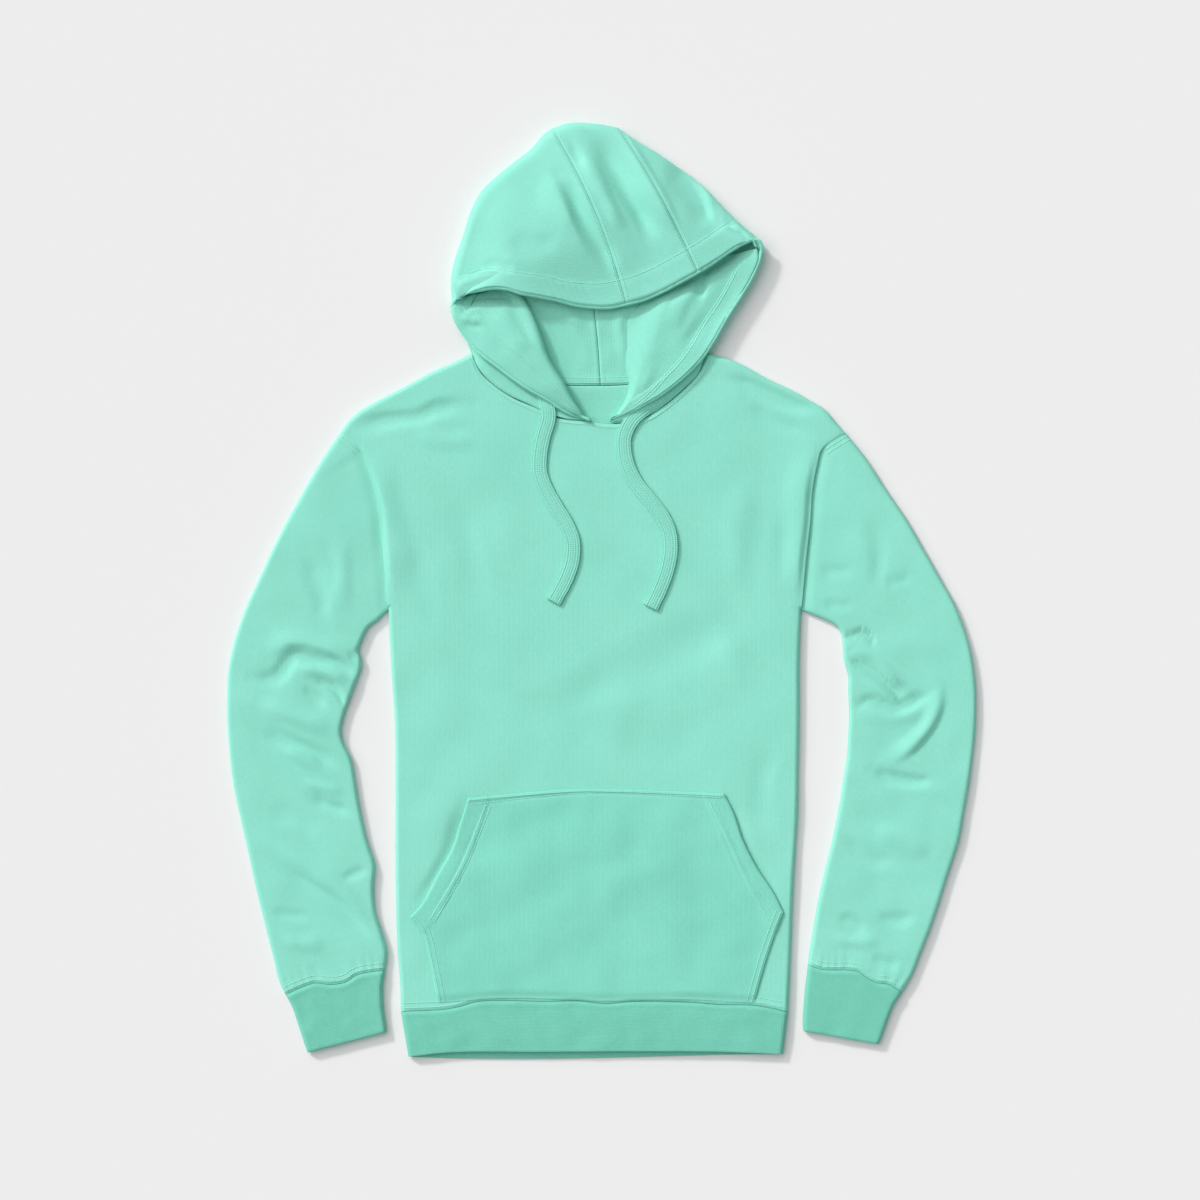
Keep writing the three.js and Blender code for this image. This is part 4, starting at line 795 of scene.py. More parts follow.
low, high = graded(90.0, 1.8, 6.0), graded(135.0, 1.8, 6.0)
pocket_left = joined_shares(through(POCKET_LEFT, low), through(POCKET_LEFT_OPENING, high))
pocket_right = joined_shares(through(POCKET_RIGHT, low), through(POCKET_RIGHT_OPENING, high))
wide = graded(300.0, 1.8, 6.0)
pocket_plan = patch(pocket_left, pocket_right, through(POCKET_FOOT, wide), through(POCKET_TOP, wide))
pocket_places = with_height(pocket_plan, pocket_height)
cloth("pocket", pocket_places, POCKET_SHADED_FACE, ["pocket"], 1.9, outside=(30, 30), level=True)

# %% [markdown]
# The hood is a pouch of three panels. Each row of its table goes from the brim over the crown to
# the outer fold and back below to the neck. The brim is a hem: its cloth turns in and shows as a
# second, lower edge, so the row starts with the outline of that turned edge.

# %% Hood tables
HOOD_LEFT = [
    (-139, 292, 19, 19, 0, -149.3, 288.5, 0), (-128, 297.5, 25, 23, 0, -150.3, 308, 0.045),
    (-113, 301.5, 28, 25, 0, -147.5, 327, 0.09), (-97, 301.5, 28, 26, 0, -138, 355, 0.135),
    (-80, 297, 26, 26, 0, -130, 380, 0.18), (-63, 294, 23, 26, 1, -119, 400, 0.225),
    (-44, 290.5, 19, 26, 2, -102, 416, 0.265), (-26, 286, 16, 25.5, 3, -86, 429, 0.3),
    (-8, 283.8, 14, 25, 4, -70, 441.5, 0.335), (9, 283.8, 13.5, 25, 5.5, -58.5, 455, 0.365),
    (24.5, 287, 14, 25, 7, -50, 461.3, 0.395),
]
HOOD_CENTRE = [
    (24.5, 287, 14, 25, 7, -50, 461.3, 0.395), (42, 291.5, 15, 24, 6, -35, 466.5, 0.455),
    (60, 299, 17, 22, 5, -18, 467.3, 0.52), (78, 308.5, 19, 23, 4, 0, 465.5, 0.585),
    (95.5, 318, 21, 25, 3, 16.5, 462.3, 0.645),
]
HOOD_RIGHT = [
    (95.5, 318, 21, 25, 3, 16.5, 462.3, 0.645), (103, 322.5, 21.6, 24.4, 2, 33, 450.7, 0.68),
    (110, 327, 21.8, 23.4, 1, 53, 438.7, 0.715), (117.5, 332, 21.6, 22.2, 0, 72, 426, 0.75),
    (125, 337.5, 21, 21, 0, 88, 415, 0.785), (132, 342.3, 20.3, 20, 0, 104, 401.5, 0.82),
    (139, 346, 19.4, 19, 0, 122.5, 382, 0.86), (145, 347.6, 18.2, 18, 0, 139, 366, 0.9),
    (150, 347.2, 16.8, 17, 0, 154, 353, 0.94), (152, 343.5, 15.4, 15.6, 0, 159.6, 341, 1),
]
HOOD_FOLDS = [
    (-7.0, 15, 14, [(-40, 412), (-28, 390), (-18, 370), (-7, 351), (5, 332), (16, 309)]),
    (2.2, 10, 22, [(-54, 420), (-44, 395), (-34, 370), (-24, 350)]),
    (-6.5, 16, 15, [(-12, 455), (3, 436), (16, 414), (28, 392), (42, 369), (56, 342)]),
    (3.6, 11, 12, [(-24, 440), (-8, 412), (8, 384), (24, 356)]),
    (3.0, 12, 14, [(22, 452), (40, 420), (56, 390), (74, 350)]),
    (-1.8, 7, 9, [(-30.5, 447), (-25, 435), (-17, 422)]),
    (-5.4, 11, 26, [(64, 432), (84, 412), (100, 386), (108, 360)]),
    (1.4, 36, 36, [(-120, 345), (-95, 375), (-70, 400)]),
    (-1.5, 16, 20, [(-95, 335), (-70, 345), (-40, 345)]),
    (-1.4, 12, 14, [(100, 385), (112, 370), (118, 352)]),
    (-1.5, 10, 12, [(-118, 318), (-105, 322), (-85, 320)]),
]
BRIM_EDGE = [
    (-20, -5.0), (-12, -5.2), (-5, -5.2), (-1.5, -4.8), (0, -3.8), (0.4, -2.4), (0.3, -1.2), (0, 0),
]
HEM = 24.0


def smoothed_rows(rows, count):
    return through(rows, np.linspace(0.0, 1.0, count))


def hood_seam(row):
    bx, by, _, _, bow, ox, oy, _ = row
    shares = np.linspace(1.0, 0.0, 40)[:, None]
    outer, run = np.array([ox, oy]), np.array([bx - ox, by - oy])
    aside = np.array([-run[1], run[0]]) / np.linalg.norm(run)
    return outer + run * shares + aside * bow * 4.0 * shares * (1.0 - shares)


hood_seams = [hood_seam(HOOD_CENTRE[0]), hood_seam(HOOD_CENTRE[-1])]
brim_line = np.array([row[:2] for row in HOOD_LEFT + HOOD_CENTRE[1:] + HOOD_RIGHT[1:]], dtype=float)


def hood_top(place_x, place_y, distance, length, crown, brim, outer_x):
    swell = (crown - 15.0) * smooth(distance / 84.0)
    radius = mix(10.0, 38.0, smooth((outer_x + 15.0) / 45.0))
    rounding = 8.0 * quarter_round(distance, np.minimum(radius, 0.5 * length))
    towards_brim = smooth(1.0 - (length - distance) / (0.45 * length))
    folds = fold_height(HOOD_FOLDS, place_x, place_y) + waves(place_x, place_y, 41, 70.0, 0.4)
    height = mix(7.0 + rounding + swell, brim, towards_brim) + folds * (1.0 - 0.6 * towards_brim)
    inside_hem = smooth((HEM - (length - distance)) / 3.0) * smooth(length / 40.0)
    height += 0.8 * inside_hem
    _, _, along = beside(brim_line, place_x, place_y)
    slant = along + 0.0022 * (length - distance)
    pucker = np.sin(2 * np.pi * (19.0 * slant + 1.6 * np.sin(17.0 * slant)))
    height += 0.2 * pucker * inside_hem * (0.5 + smooth(1.0 - np.abs(along - 0.6) / 0.16))
    above_hem = smooth((length - distance - HEM + 2.0) / 4.0)
    for line, depth, kept in zip(hood_seams, (0.4, 0.8), (0.1, 0.8)):
        dip = seam_dip(beside(line, place_x, place_y)[0], depth, 2.7)
        height += dip * smooth(distance / 12.0) * mix(kept, 1.0, above_hem)
    return height


def make_hood_panel(name, rows, count, node):
    table = smoothed_rows(rows, count)
    bx, by, bz, crown, bow, ox, oy, neck = (table[:, k:k + 1] for k in range(8))
    outer, brim = np.hstack([ox, oy]), np.hstack([bx, by])
    length = np.linalg.norm(brim - outer, axis=1)[:, None]
    to_brim = (brim - outer) / length
    aside = np.column_stack([-to_brim[:, 1], to_brim[:, 0]])
    columns = []
    edge_scale = smooth(length / 30.0)
    for out, drop in BRIM_EDGE[:-1]:
        plan = brim + to_brim * out * edge_scale
        columns.append(np.hstack([plan, bz + 0.8 * edge_scale + drop * edge_scale]))
    for share in np.r_[np.linspace(1.0, 0.12, 46), 0.085, 0.055, 0.032, 0.015, 0.004, 0.0]:
        distance = share * length
        plan = outer + to_brim * distance + aside * bow * 4.0 * share * (1.0 - share)
        height = hood_top(plan[:, :1], plan[:, 1:], distance, length, crown, bz, ox)
        columns.append(np.hstack([plan, height]))
    neck_points = offset_line(through(BACK_NECK, neck[:, 0]), 0.5)
    to_neck = neck_points - outer
    to_neck /= np.linalg.norm(to_neck, axis=1)[:, None]
    for distance in (0.8, 2.4, 4.8, 9.0):
        plan = outer + to_neck * distance
        columns.append(np.hstack([plan, 7.0 * (1.0 - quarter_round(distance, 9.0)) + 0 * ox]))
    for share in np.linspace(0.0, 1.0, 22)[1:]:
        plan = mix(outer + to_neck * 9.0, neck_points, share)
        columns.append(np.hstack([plan, 0 * ox]))
    places = np.stack(columns, axis=1)
    return cloth(name, places, FLEECE_FACE, [node], FLEECE, outside=(count // 2, 40))


make_hood_panel("hood_left_panel", HOOD_LEFT, 120, "hood_left_panel")
make_hood_panel("hood_centre_panel", HOOD_CENTRE, 46, "hood_centre_panel")
make_hood_panel("hood_right_panel", HOOD_RIGHT, 84, "hood_right_panel")

# %% [markdown]
# Below the brim the hood's front edges open like lapels. The left one rolls outward over a crest
# and shows its lining; the right one rises from the back wall to its edge. Under each edge the
# outer cloth goes down into the neck seam.

# %% Front edges of the hood
LEFT_ROLL = [
    (-144, 291, 12, -98, 304, 7, -148, 288.5, 0), (-148.5, 281, 13.5, -82, 297, 10, -147, 277, 0),
    (-146, 268, 14.5, -72, 283, 15, -141, 263, 0), (-136, 254, 15, -65, 268, 17.5, -133, 250, 0),
    (-120.5, 238, 16, -59, 252, 19, 0.05, None, 6), (-104.5, 226, 17, -53.5, 235, 19, 0.13, None, 6.3),
    (-87.5, 213, 17, -45.5, 220, 19, 0.2, None, 6.3), (-70.5, 201.5, 17, -36.5, 206.5, 19, 0.27, None, 6.3),
    (-53.5, 192, 15.5, -28.5, 191, 17, 0.34, None, 6.3), (-38.5, 182, 13.5, -20.5, 179, 15, 0.41, None, 6.3),
    (-25.5, 175.5, 11.6, -17, 173.5, 12, 0.46, None, 6.3), (-11.5, 170.2, 9.2, -9.5, 170, 9.4, 0.49, None, 6.3),
]
RIGHT_ROLL = [
    (155, 341, 13, 104, 332, 9, 156, 342, 0), (156, 329, 13.2, 82, 307, 10.8, 152, 325, 0),
    (148.5, 312, 13.2, 70, 290, 12, 144, 309, 0), (138, 294.5, 13.4, 62, 272, 12.8, 133.5, 291, 0),
    (123.5, 272, 13.8, 56, 254, 13.2, 120, 269, 0), (111.5, 251, 14.2, 50, 236, 13.4, 108, 251, 0),
    (98.5, 232, 14.9, 44, 221, 13, 0.935, None, 6), (81.5, 214.5, 15.2, 38, 207, 13.4, 0.86, None, 6.3),
    (61.5, 198.5, 15.2, 32, 195, 13.4, 0.78, None, 6.3), (41.5, 186.5, 14.4, 25, 184.5, 12.8, 0.7, None, 6.3),
    (24, 177, 12.2, 17, 175.5, 11.2, 0.62, None, 6.3), (11, 170.8, 9.4, 8.5, 171, 9.4, 0.565, None, 6.3),
]
RIGHT_FOOT = [
    (80, 320, 4.6), (48, 298, 4.6), (32, 280, 4.6), (22, 262, 4.6), (18, 244, 4.6), (20, 229, 4.4),
    (24.5, 215, 4.0), (26, 205, 3.4), (24, 194, 3.4), (19, 183, 3.4), (12, 173.5, 3.8), (7.5, 171, 5.4),
]
ROLL_UNDER = 5.4
UNDER_BRIM = 7.0
LAPEL_FOLDS = [
    (-1.4, 7, 7, [(-141, 283), (-134, 277), (-124, 272)]),
    (1.2, 6, 6, [(-140, 276), (-131, 270), (-120, 268)]),
    (-1.2, 6, 6, [(-137, 268), (-128, 263), (-118, 262)]),
    (1.4, 16, 14, [(-112, 285), (-95, 262), (-72, 236)]),
    (-1.6, 9, 9, [(-92, 290), (-80, 270), (-66, 245)]),
    (-4.6, 3.5, 12, [(102, 324), (102, 306), (99, 288)]),
    (1.2, 10, 20, [(94, 316), (84, 292), (70, 258)]),
    (-2.4, 14, 20, [(142, 316), (128, 292), (108, 262), (88, 236)]),
    (-1.4, 12, 12, [(118, 300), (100, 268), (78, 236)]),
    (1.2, 10, 10, [(50, 232), (46, 214), (36, 196)]),
]


def roll_rows(rows, count):
    ready = []
    for ex, ey, ez, fx, fy, fz, nx, ny, nz in rows:
        if ny is None:
            nearby = through(FRONT_NECK, [nx - 0.01, nx, nx + 0.01])
            nx, ny = offset_line(nearby, 0.6)[1]
        ready.append((ex, ey, ez, fx, fy, fz, nx, ny, nz))
    return smoothed_rows(ready, count)


def lapel_top(plan, base, from_edge):
    x, y = plan[:, :1], plan[:, 1:]
    height = base + fold_height(LAPEL_FOLDS, x, y) + waves(x, y, 51, 45.0, 0.4)
    below_brim = UNDER_BRIM * (1.0 - smooth(beside(brim_line, x, y)[0] / 19.0)) * smooth(from_edge / 22.0)
    height = np.maximum(height - below_brim, np.minimum(height, 5.4))
    return height + 0.7 * smooth((HEM - from_edge) / 3.5)


def make_left_front(count=110):
    table = roll_rows(LEFT_ROLL, count)
    ex, ey, ez, fx, fy, fz, nx, ny, nz = (table[:, k:k + 1] for k in range(9))
    free, crest, end = np.hstack([ex, ey]), np.hstack([fx, fy]), np.hstack([nx, ny])
    width = np.linalg.norm(free - crest, axis=1)[:, None]
    to_free = (free - crest) / width
    back = np.minimum(6.0, 0.35 * width)
    edge_size = np.minimum(1.0, width / 30.0)
    columns = []
    for out, drop in BRIM_EDGE[:-1]:
        columns.append(np.hstack([free + to_free * out * edge_size, ez + 0.7 + drop * edge_size]))
    for share in np.linspace(0.0, 1.0, 26):
        plan = mix(free, crest + to_free * back, share)
        base = mix(ez, fz, share) + 1.2 * 4.0 * share * (1.0 - share) * 0.5
        fade = smooth((1.0 - share) / 0.15)
        height = mix(fz, lapel_top(plan, base, share * width), fade)
        columns.append(np.hstack([plan, height]))
    middle, half = 0.5 * (fz + ROLL_UNDER), 0.5 * (fz - ROLL_UNDER)
    for turn in np.linspace(0.0, np.pi, 11)[1:]:
        plan = crest + to_free * back * (1.0 - math.sin(turn))
        columns.append(np.hstack([plan, middle + half * math.cos(turn)]))
    start = crest + to_free * back
    for share in np.linspace(0.0, 1.0, 14)[1:]:
        height = mix(ROLL_UNDER, nz, smooth((share - 0.6) / 0.4))
        columns.append(np.hstack([mix(start, end, share), height]))
    places = np.stack(columns, axis=1)
    return cloth("hood_left_front", places, LINING_FACE, ["hood_left_panel"], FLEECE, outside=(50, 20))


def make_right_front(count=120):
    table = roll_rows(RIGHT_ROLL, count)
    feet = smoothed_rows(RIGHT_FOOT, count)
    ex, ey, ez, fx, fy, fz, nx, ny, nz = (table[:, k:k + 1] for k in range(9))
    free, crest, end = np.hstack([ex, ey]), np.hstack([fx, fy]), np.hstack([nx, ny])
    foot_plan, foot_z = feet[:, :2], feet[:, 2:]
    width = np.linalg.norm(free - crest, axis=1)[:, None]
    to_free = (free - crest) / width
    edge_size = np.minimum(1.0, width / 30.0)
    under = free - to_free * 3.0 * edge_size
    columns = []
    for share in np.linspace(0.0, 1.0, 12)[:-1]:
        bulge = 1.5 * 4.0 * share * (1.0 - share)
        columns.append(np.hstack([mix(end, under, share), mix(nz, ez - 5.2 * edge_size, share) + bulge]))
    for out, drop in BRIM_EDGE[3:-1]:
        columns.append(np.hstack([free + to_free * out * edge_size, ez + 0.7 + drop * edge_size]))
    for share in np.linspace(0.0, 1.0, 28):
        plan = mix(free, crest, share)
        sag = mix(ez, fz, share ** 0.9)
        columns.append(np.hstack([plan, lapel_top(plan, sag, share * width)]))
    last = columns[-1][:, 2:]
    for share in np.linspace(0.0, 1.0, 13)[1:]:
        plan = mix(crest, foot_plan, share)
        columns.append(np.hstack([plan, mix(last, foot_z, smooth(share))]))
    places = np.stack(columns, axis=1)
    return cloth("hood_right_front", places, LINING_FACE, ["hood_right_panel"], FLEECE, outside=(50, 30))


make_left_front()
make_right_front()

# %% [markdown]
# The hem runs as one rounded edge round the whole opening, two layers with a groove between them.
# It is a soft tube swept along the edge: up the left lapel, over the brim, down the right lapel.

# %% Hem round the opening
EDGE_LOOP = [
    (-11.5, 170.4, 8.6), (-25.5, 175.5, 11.4), (-38.5, 182, 13.3), (-53.5, 192, 15.6), (-70.5, 201.5, 16.6),
    (-87.5, 213, 16.6), (-104.5, 226, 16.6), (-120.5, 238, 15.6), (-134.5, 254, 14.6), (-143, 268, 14.2),
    (-146.8, 278, 13.4), (-147, 285.5, 14.4), (-143.5, 291.5, 17.4), (-135, 296.8, 22.4), (-121, 300, 26.4),
    (-105, 302, 28), (-92, 300.5, 27.8), (-80, 297, 26.2), (-63, 294, 23.2), (-44, 290.5, 19.2),
    (-26, 286, 16.2), (-8, 283.8, 14.4), (9, 283.8, 13.9), (24.5, 287, 14.4), (42, 291.5, 15.4),
    (60, 299, 17.4), (78, 308.5, 19.4), (95.5, 318, 21.4), (110, 327, 22), (125, 337.5, 21.2),
    (139, 346, 19.6), (149.5, 350, 17.8), (157, 348, 16.2), (159, 341, 15), (156, 329, 14.2),
    (148.5, 312, 13.8), (138, 294.5, 13.8), (123.5, 272, 14), (111.5, 251, 14.4), (98.5, 232, 14.9),
    (81.5, 214.5, 15.2), (61.5, 198.5, 15.1), (41.5, 186.5, 14.2), (24, 177, 12), (10, 170.8, 9),
]
EDGE_RADIUS = 2.2
EDGE_ASIDE = 1.0


def make_hem(steps=420):
    path = through(EDGE_LOOP, np.linspace(0.0, 1.0, steps))
    share = np.linspace(0.0, 1.0, steps)
    path[:, 2] -= 2.3
    run = np.gradient(path, axis=0)
    run /= np.linalg.norm(run, axis=1)[:, None]
    aside = np.column_stack([-run[:, 1], run[:, 0], np.zeros(steps)])
    aside /= np.linalg.norm(aside, axis=1)[:, None]
    up = np.cross(run, aside)
    # The free side is on the left of the path along both lapels and on its right along the brim.
    free_side = 1.0 - 2.0 * smooth((share - 0.235) / 0.05) + 2.0 * smooth((share - 0.66) / 0.05)
    path += aside * (EDGE_ASIDE * free_side)[:, None]
    groove_at = np.radians(90.0 - 62.0 * free_side)
    turn = np.linspace(0.0, 2.0 * np.pi, 33)
    apart = np.angle(np.exp(1j * (turn[None] - groove_at[:, None])))
    radius = EDGE_RADIUS * (1.0 - 0.24 * np.exp(-((apart / 0.26) ** 2)))
    radius *= (1.0 + 0.05 * np.sin(2 * np.pi * (70.0 * share + 2.0 * np.sin(31.0 * share))))[:, None]
    pinched = np.exp(-(((share - 0.245) / 0.022) ** 2)) + 0.5 * np.exp(-(((share - 0.69) / 0.012) ** 2))
    radius *= (1.0 + 0.22 * pinched * np.sin(2 * np.pi * 150.0 * share))[:, None]
    radius *= mix(0.12, 1.0, smooth(np.minimum(share, 1.0 - share) / 0.035))[:, None]
    ring = aside[:, None] * (np.cos(turn)[None] * radius)[..., None]
    ring = ring + up[:, None] * (np.sin(turn)[None] * radius)[..., None]
    bm = bmesh.new()
    grid_into(bm, path[:, None] + ring, tube=True)
    bmesh.ops.recalc_face_normals(bm, faces=bm.faces)
    return finish_piece("hood_hem", bm, FLEECE_FACE)


make_hem()

# %% [markdown]
# The back wall inside the hood is the lining, two halves with one seam down the middle. It lies on
# the back of the hood, with a few soft creases, and ends in the back neck seam.

# %% Lining
LINING_SEAM = [(-1, 205.6), (-4, 250), (-7.5, 283), (-9, 330), (-10, 400)]
LINING_LEFT_EDGE = [(-88, 219.5), (-110, 262), (-120, 310), (-104, 360), (-70, 400)]
LINING_RIGHT_EDGE = [(72, 219.5), (95, 262), (112, 310), (96, 352), (60, 400)]
LINING_FOLDS = [
    (-1.8, 8, 8, [(-66.5, 285), (-48.5, 268), (-27.5, 248), (-20, 232)]),
    (2.0, 9, 10, [(-60, 298), (-38, 280), (-16, 262)]),
    (-1.8, 7, 8, [(44, 292), (30, 274), (33, 250), (35, 228)]),
    (1.6, 8, 8, [(26, 292), (18, 270), (22, 240), (22, 220)]),
    (0.8, 5, 5, [(-40, 212), (0, 210.5), (36, 211.5)]),
]
lining_seam = through(LINING_SEAM, even)
back_neck_line = through(BACK_NECK, even)


def lining_height(x, y):
    height = 5.1 + fold_height(LINING_FOLDS, x, y) + waves(x, y, 61, 45.0, 0.35)
    height = np.clip(height, 4.6, 8.5) + seam_dip(beside(lining_seam, x, y)[0], 0.55, 1.7)
    return height + seam_dip(beside(back_neck_line, x, y)[0], 0.5, 2.0)


def make_lining(name, outer_edge, sign):
    rows = graded(195.0, 3.0, 8.0)
    seam = through(LINING_SEAM, rows) + (0.25 * sign, 0.0)
    edge = through(outer_edge, rows)
    shares = graded(95.0, 3.0, 8.0)[None, :, None]
    plan = mix(seam[:, None], edge[:, None], shares)
    foot_y = np.interp(plan[0, :, 0], back_neck_line[:, 0], back_neck_line[:, 1]) + 0.6
    plan[0, :, 1] = foot_y
    shift = (foot_y - mix(seam[0, 1], edge[0, 1], shares[0, :, 0]))[None]
    plan[1:, :, 1] += shift * (1.0 - smooth(rows / 0.15))[1:, None]
    places = with_height(plan, lining_height)
    return cloth(name, places, LINING_FACE, [name], 1.9, outside=(30, 15), level=True)


make_lining("hood_lining_left", LINING_LEFT_EDGE, -1)
make_lining("hood_lining_right", LINING_RIGHT_EDGE, 1)

# %% [markdown]
# The drawcord is a flat knitted tube about 15 mm wide. It leaves the hood's hem on both sides and
# its two free ends lie on the chest in loose curves. Each follows a middle line, rests on the cloth
# below it, and has six raised wales and a bare, folded and stitched end.

# %% Drawcords
LEFT_CORD = [
    (-57.5, 198), (-55.5, 190), (-53, 174), (-58.5, 153.5), (-61.8, 134), (-61.5, 117.5),
    (-55, 100), (-44.5, 82), (-34.5, 65), (-29, 49.5), (-29.5, 31), (-35.8, 12), (-48, -11),
]
RIGHT_CORD = [
    (52, 194), (46.3, 185), (31.4, 172), (23, 156), (22, 143), (25.5, 125.5), (33.8, 108.4),
    (48.3, 90), (59.8, 75), (66.7, 59.5), (68.5, 43), (65.3, 22.5), (57.5, 1), (49, -16.7),
]
CORD_WIDTH = 15.0
CORD_THICK = 2.6


def make_cord(name, points, tilt):
    steps = 150
    plan = through(points, np.linspace(0.0, 1.0, steps))
    sides = [offset_line(plan, share * CORD_WIDTH) for share in (-0.4, -0.2, 0.0, 0.2, 0.4)]
    ground = np.max([body_height(side[:, 0], side[:, 1]) for side in sides], axis=0)
    ground = np.maximum(ground, 6.2)
    padded = np.r_[[ground[0]] * 3, ground, [ground[-1]] * 3]
    ground = np.max([padded[k:k + steps] for k in range(7)], axis=0)
    padded = np.r_[[ground[0]] * 4, ground, [ground[-1]] * 4]
    ground = np.mean([padded[k:k + steps] for k in range(9)], axis=0)
    middle = np.column_stack([plan, ground + 0.5 * CORD_THICK + 0.4])
    run = np.gradient(middle, axis=0)
    run /= np.linalg.norm(run, axis=1)[:, None]
    aside = np.column_stack([-run[:, 1], run[:, 0], np.zeros(steps)])
    aside /= np.linalg.norm(aside, axis=1)[:, None]
    up = np.cross(run, aside) * np.sign(np.cross(run, aside)[:, 2:])
    share = np.linspace(0.0, 1.0, steps)
    lean = np.radians(tilt) * (1.0 - smooth(share / 0.12))
    across = aside * np.cos(lean)[:, None] + up * np.sin(lean)[:, None]
    rise = up * np.cos(lean)[:, None] - aside * np.sin(lean)[:, None]
    turn = np.linspace(0.0, 2.0 * np.pi, 61)
    w = 0.5 * CORD_WIDTH * np.sign(np.cos(turn)) * np.abs(np.cos(turn)) ** 0.6
    h = 0.5 * CORD_THICK * np.sign(np.sin(turn)) * np.abs(np.sin(turn)) ** 0.55
    h *= 1.0 + 0.16 * np.cos(2.0 * np.pi * w / 2.5)
    length = np.r_[0.0, np.cumsum(np.linalg.norm(np.diff(middle, axis=0), axis=1))]
    rest = length[-1] - length
    thick = 1.0 + 0.35 * smooth((12.0 - rest) / 2.5) - 0.25 * smooth((2.0 - rest) / 2.0)
    pinch = 1.0 - 0.06 * np.exp(-(((rest - 10.0) / 1.5) ** 2))
    thick *= 1.0 - 0.2 * np.exp(-(((rest - 10.0) / 1.2) ** 2))
    rows = middle[:, None] + across[:, None] * (w[None] * pinch[:, None])[..., None]
    rows = rows + rise[:, None] * (h[None] * thick[:, None])[..., None]
    first = middle[:1, None] + 0.03 * (rows[:1] - middle[:1, None])
    last = middle[-1:, None] + 0.03 * (rows[-1:] - middle[-1:, None])
    places = np.concatenate([first, rows, last], axis=0)
    piece = cloth(name, places, CORD_FACE, [name], 0.0, tube=True)
    return middle, across, rise


left_cord = make_cord("drawcord_left", LEFT_CORD, 8.0)
right_cord = make_cord("drawcord_right", RIGHT_CORD, -24.0)

# %% [markdown]
# Seams and hems are held by rows of stitches. A real row is a chain of short threads that dive into
# the cloth. Here each row is one thin thread whose thickness swells and shrinks once a stitch, laid
# on the finished surface by casting rays down onto it.

# %% Stitches
STITCH = 3.2
bodies = {
    "hood": ["hood_left_panel", "hood_centre_panel", "hood_right_panel"],
    "fronts": ["hood_left_front", "hood_right_front"],
    "body": ["front_panel"],
    "pocket": ["pocket"],
    "bands": ["front_panel", "sleeve_left", "sleeve_right", "cuff_left", "cuff_right", "waistband"],
    "lining": ["hood_lining_left", "hood_lining_right"],
}


def lay_on(names, x, y):
    best = None
    for name in names:
        spot, normal, _, _ = surfaces[name].ray_cast(Vector((x * MM, y * MM, 0.2)), Vector((0, 0, -1)))
        if spot is not None and (best is None or spot.z > best[0].z):
            best = (spot, normal)
    return best


def stitch_row(bm, names, points, width=1.1):
    line = through(points, np.linspace(0.0, 1.0, 200))
    total = float(np.linalg.norm(np.diff(line, axis=0), axis=1).sum())
    count = max(int(total / STITCH), 2)
    plan = through(points, np.linspace(0.0, 1.0, 4 * count + 1))
    hits = [lay_on(names, x, y) for x, y in plan]
    kept = [i for i, hit in enumerate(hits) if hit is not None]
    if len(kept) < 8:
        return 0
    plan = plan[kept]
    z = np.array([hits[i][0].z for i in kept]) / MM
    normal = np.array([hits[i][1][:] for i in kept])
    normal *= np.where(normal[:, 2:] < 0, -1.0, 1.0)
    middle = np.column_stack([plan, z]) + 0.12 * normal
    run = np.gradient(middle, axis=0)
    run /= np.linalg.norm(run, axis=1)[:, None]
    aside = np.cross(normal, run)
    swell = 0.22 + 0.78 * np.abs(np.sin(np.pi * np.array(kept) / 4.0))
    swell[0] = swell[-1] = 0.05
    turn = np.linspace(0.0, 2.0 * np.pi, 7)
    ring = aside[:, None] * np.cos(turn)[None, :, None] * 0.5 * width
    ring = ring + normal[:, None] * np.sin(turn)[None, :, None] * 0.38 * width
    grid_into(bm, middle[:, None] + ring * swell[:, None, None], tube=True)
    return len(kept) // 4


def stitches(name, rows):
    bm = bmesh.new()
    count = sum(stitch_row(bm, bodies[on], points) for on, points in rows)
    bmesh.ops.recalc_face_normals(bm, faces=bm.faces)
    finish_piece(name, bm, THREAD)
    print(name, "has", count, "stitches")


def beside_line(points, *distances):
    base = through(points, np.linspace(0.0, 1.0, 80))
    return [offset_line(base, distance) for distance in distances]


hood_rows = [("hood", line) for seam in hood_seams for line in beside_line(seam[1:-2], -3.0, 3.0)]
table = smoothed_rows(HOOD_LEFT + HOOD_CENTRE[1:] + HOOD_RIGHT[1:], 120)
to_brim = table[:, :2] - table[:, 5:7]
reach = np.linalg.norm(to_brim, axis=1)[:, None]
hem_stitch = (table[:, :2] - to_brim / reach * HEM)[(reach > 40.0)[:, 0]]
hood_rows.append(("hood", hem_stitch))
left_table, right_table = roll_rows(LEFT_ROLL, 60), roll_rows(RIGHT_ROLL, 60)
for rows in (left_table, right_table):
    inward = rows[:, 3:5] - rows[:, :2]
    far = np.linalg.norm(inward, axis=1)[:, None]
    line = (rows[:, :2] + inward / far * np.minimum(HEM, 0.5 * far))[6:52]
    hood_rows.append(("fronts", line))
    hood_rows.append(("fronts", offset_line(line, 2.4)))
stitches("hood_stitches", hood_rows)
neck_rows = [("body", line) for line in beside_line(FRONT_NECK, -3.4)]
neck_rows += [("lining", line) for line in beside_line(BACK_NECK[2:-2], 3.0, 8.0)]
for armhole, sign in ((LEFT_ARMHOLE, 1), (RIGHT_ARMHOLE, -1)):
    tail = through(armhole, np.linspace(0.85, 1.0, 30))
    neck_rows += [("bands", offset_line(tail, sign * distance)) for distance in (3.0, 7.5)]
stitches("neck_stitches", neck_rows)
pocket_rows = []
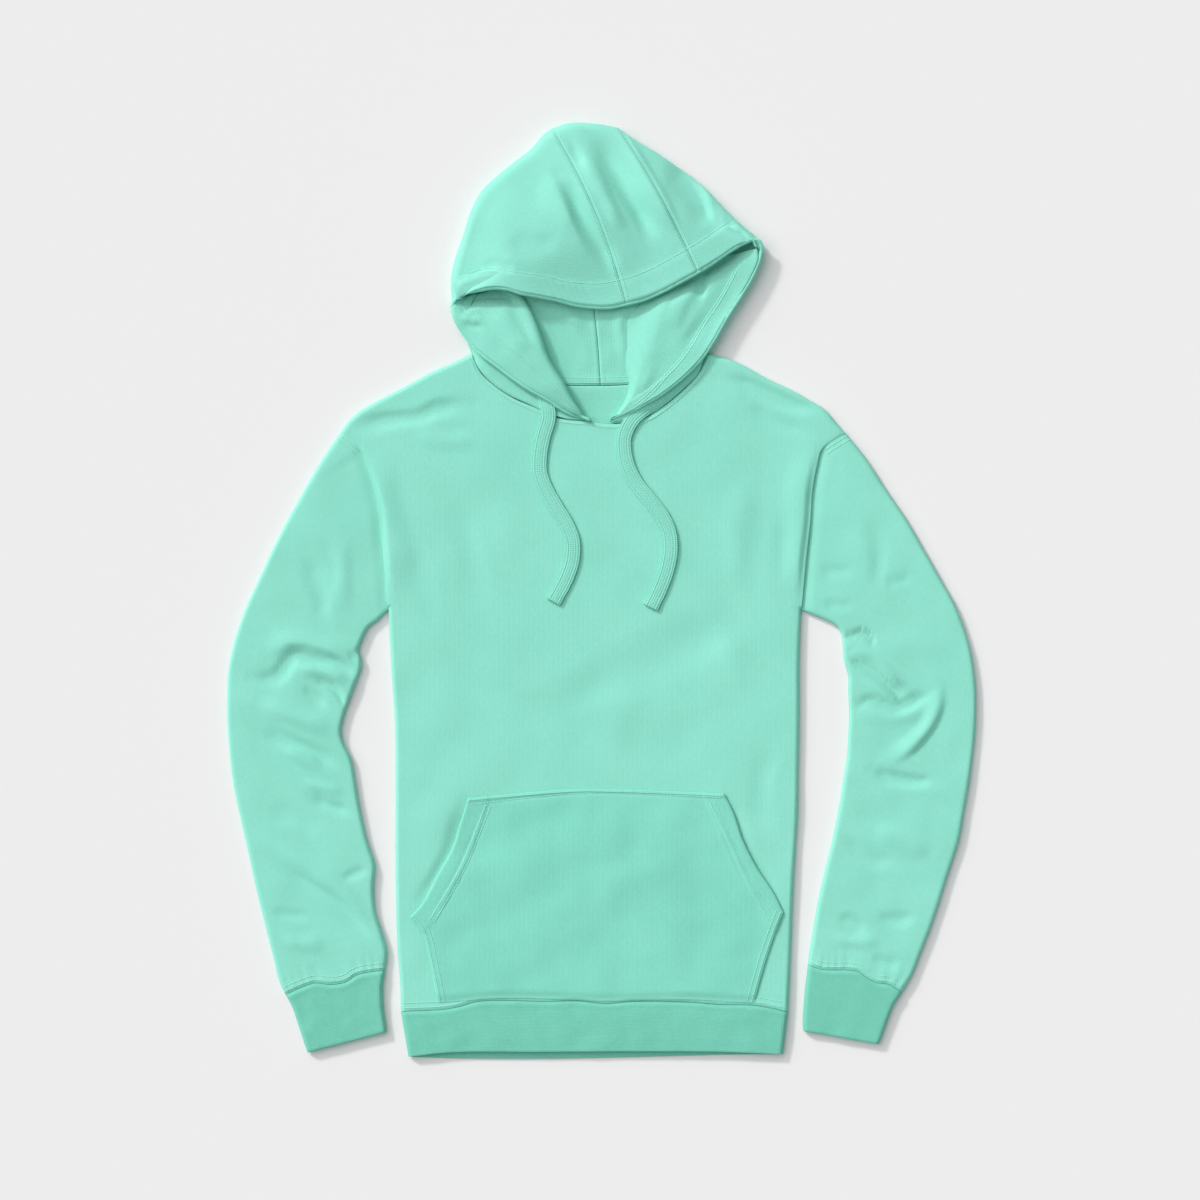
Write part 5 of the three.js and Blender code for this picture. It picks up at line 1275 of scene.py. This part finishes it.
for line in POCKET_STITCHES[:2]:
    pocket_rows += [("pocket", points) for points in beside_line(line, -1.6, 3.2)]
pocket_rows.append(("pocket", POCKET_STITCHES[2]))
pocket_rows += [("pocket", points) for points in beside_line(POCKET_LEFT, -3.0, -7.6)]
pocket_rows += [("pocket", points) for points in beside_line(POCKET_RIGHT, 3.0, 7.6)]
pocket_rows += [("pocket", points) for points in beside_line(POCKET_TOP, -2.6)]
stitches("pocket_stitches", pocket_rows)
band_stitch_rows = [("bands", line) for line in beside_line(BAND_SEAM, 3.4, 8.4)]
band_stitch_rows += [("bands", line) for line in beside_line(LEFT_CUFF_SEAM, 3.4, 7.8)]
band_stitch_rows += [("bands", line) for line in beside_line(RIGHT_CUFF_SEAM, -3.4, -7.8)]
stitches("band_stitches", band_stitch_rows)

# %% [markdown]
# Each cut piece is listed with the flat size of what shows, its surface area and the pieces it rests on.

# %% Cut sizes
CUTS = {
    "front_panel": ((0.505, 0.66), 0.262, ["back_panel"]),
    "back_panel": ((0.50, 0.66), 0.265, []),
    "sleeve_left": ((0.30, 0.53), 0.125, ["back_panel"]),
    "sleeve_right": ((0.30, 0.53), 0.128, ["back_panel"]),
    "cuff_left": ((0.19, 0.06), None, []),
    "cuff_right": ((0.19, 0.06), None, []),
    "waistband": ((0.78, 0.053), None, []),
    "pocket": ((0.373, 0.214), 0.066, ["front_panel"]),
    "hood_left_panel": ((0.31, 0.33), 0.045, []),
    "hood_centre_panel": ((0.10, 0.46), 0.033, []),
    "hood_right_panel": ((0.22, 0.40), 0.033, []),
    "hood_left_front": ((0.19, 0.17), 0.020, []),
    "hood_right_front": ((0.13, 0.22), 0.0165, []),
    "hood_lining_left": ((0.11, 0.20), 0.019, []),
    "hood_lining_right": ((0.12, 0.20), 0.019, []),
}
for name, (flat, area, rests_on) in CUTS.items():
    extra = {"area": area} if area else {}
    if name == "hood_left_front":
        extra["with_pieces"] = [pieces["hood_hem"]]
print("declared", len(CUTS), "sheets")
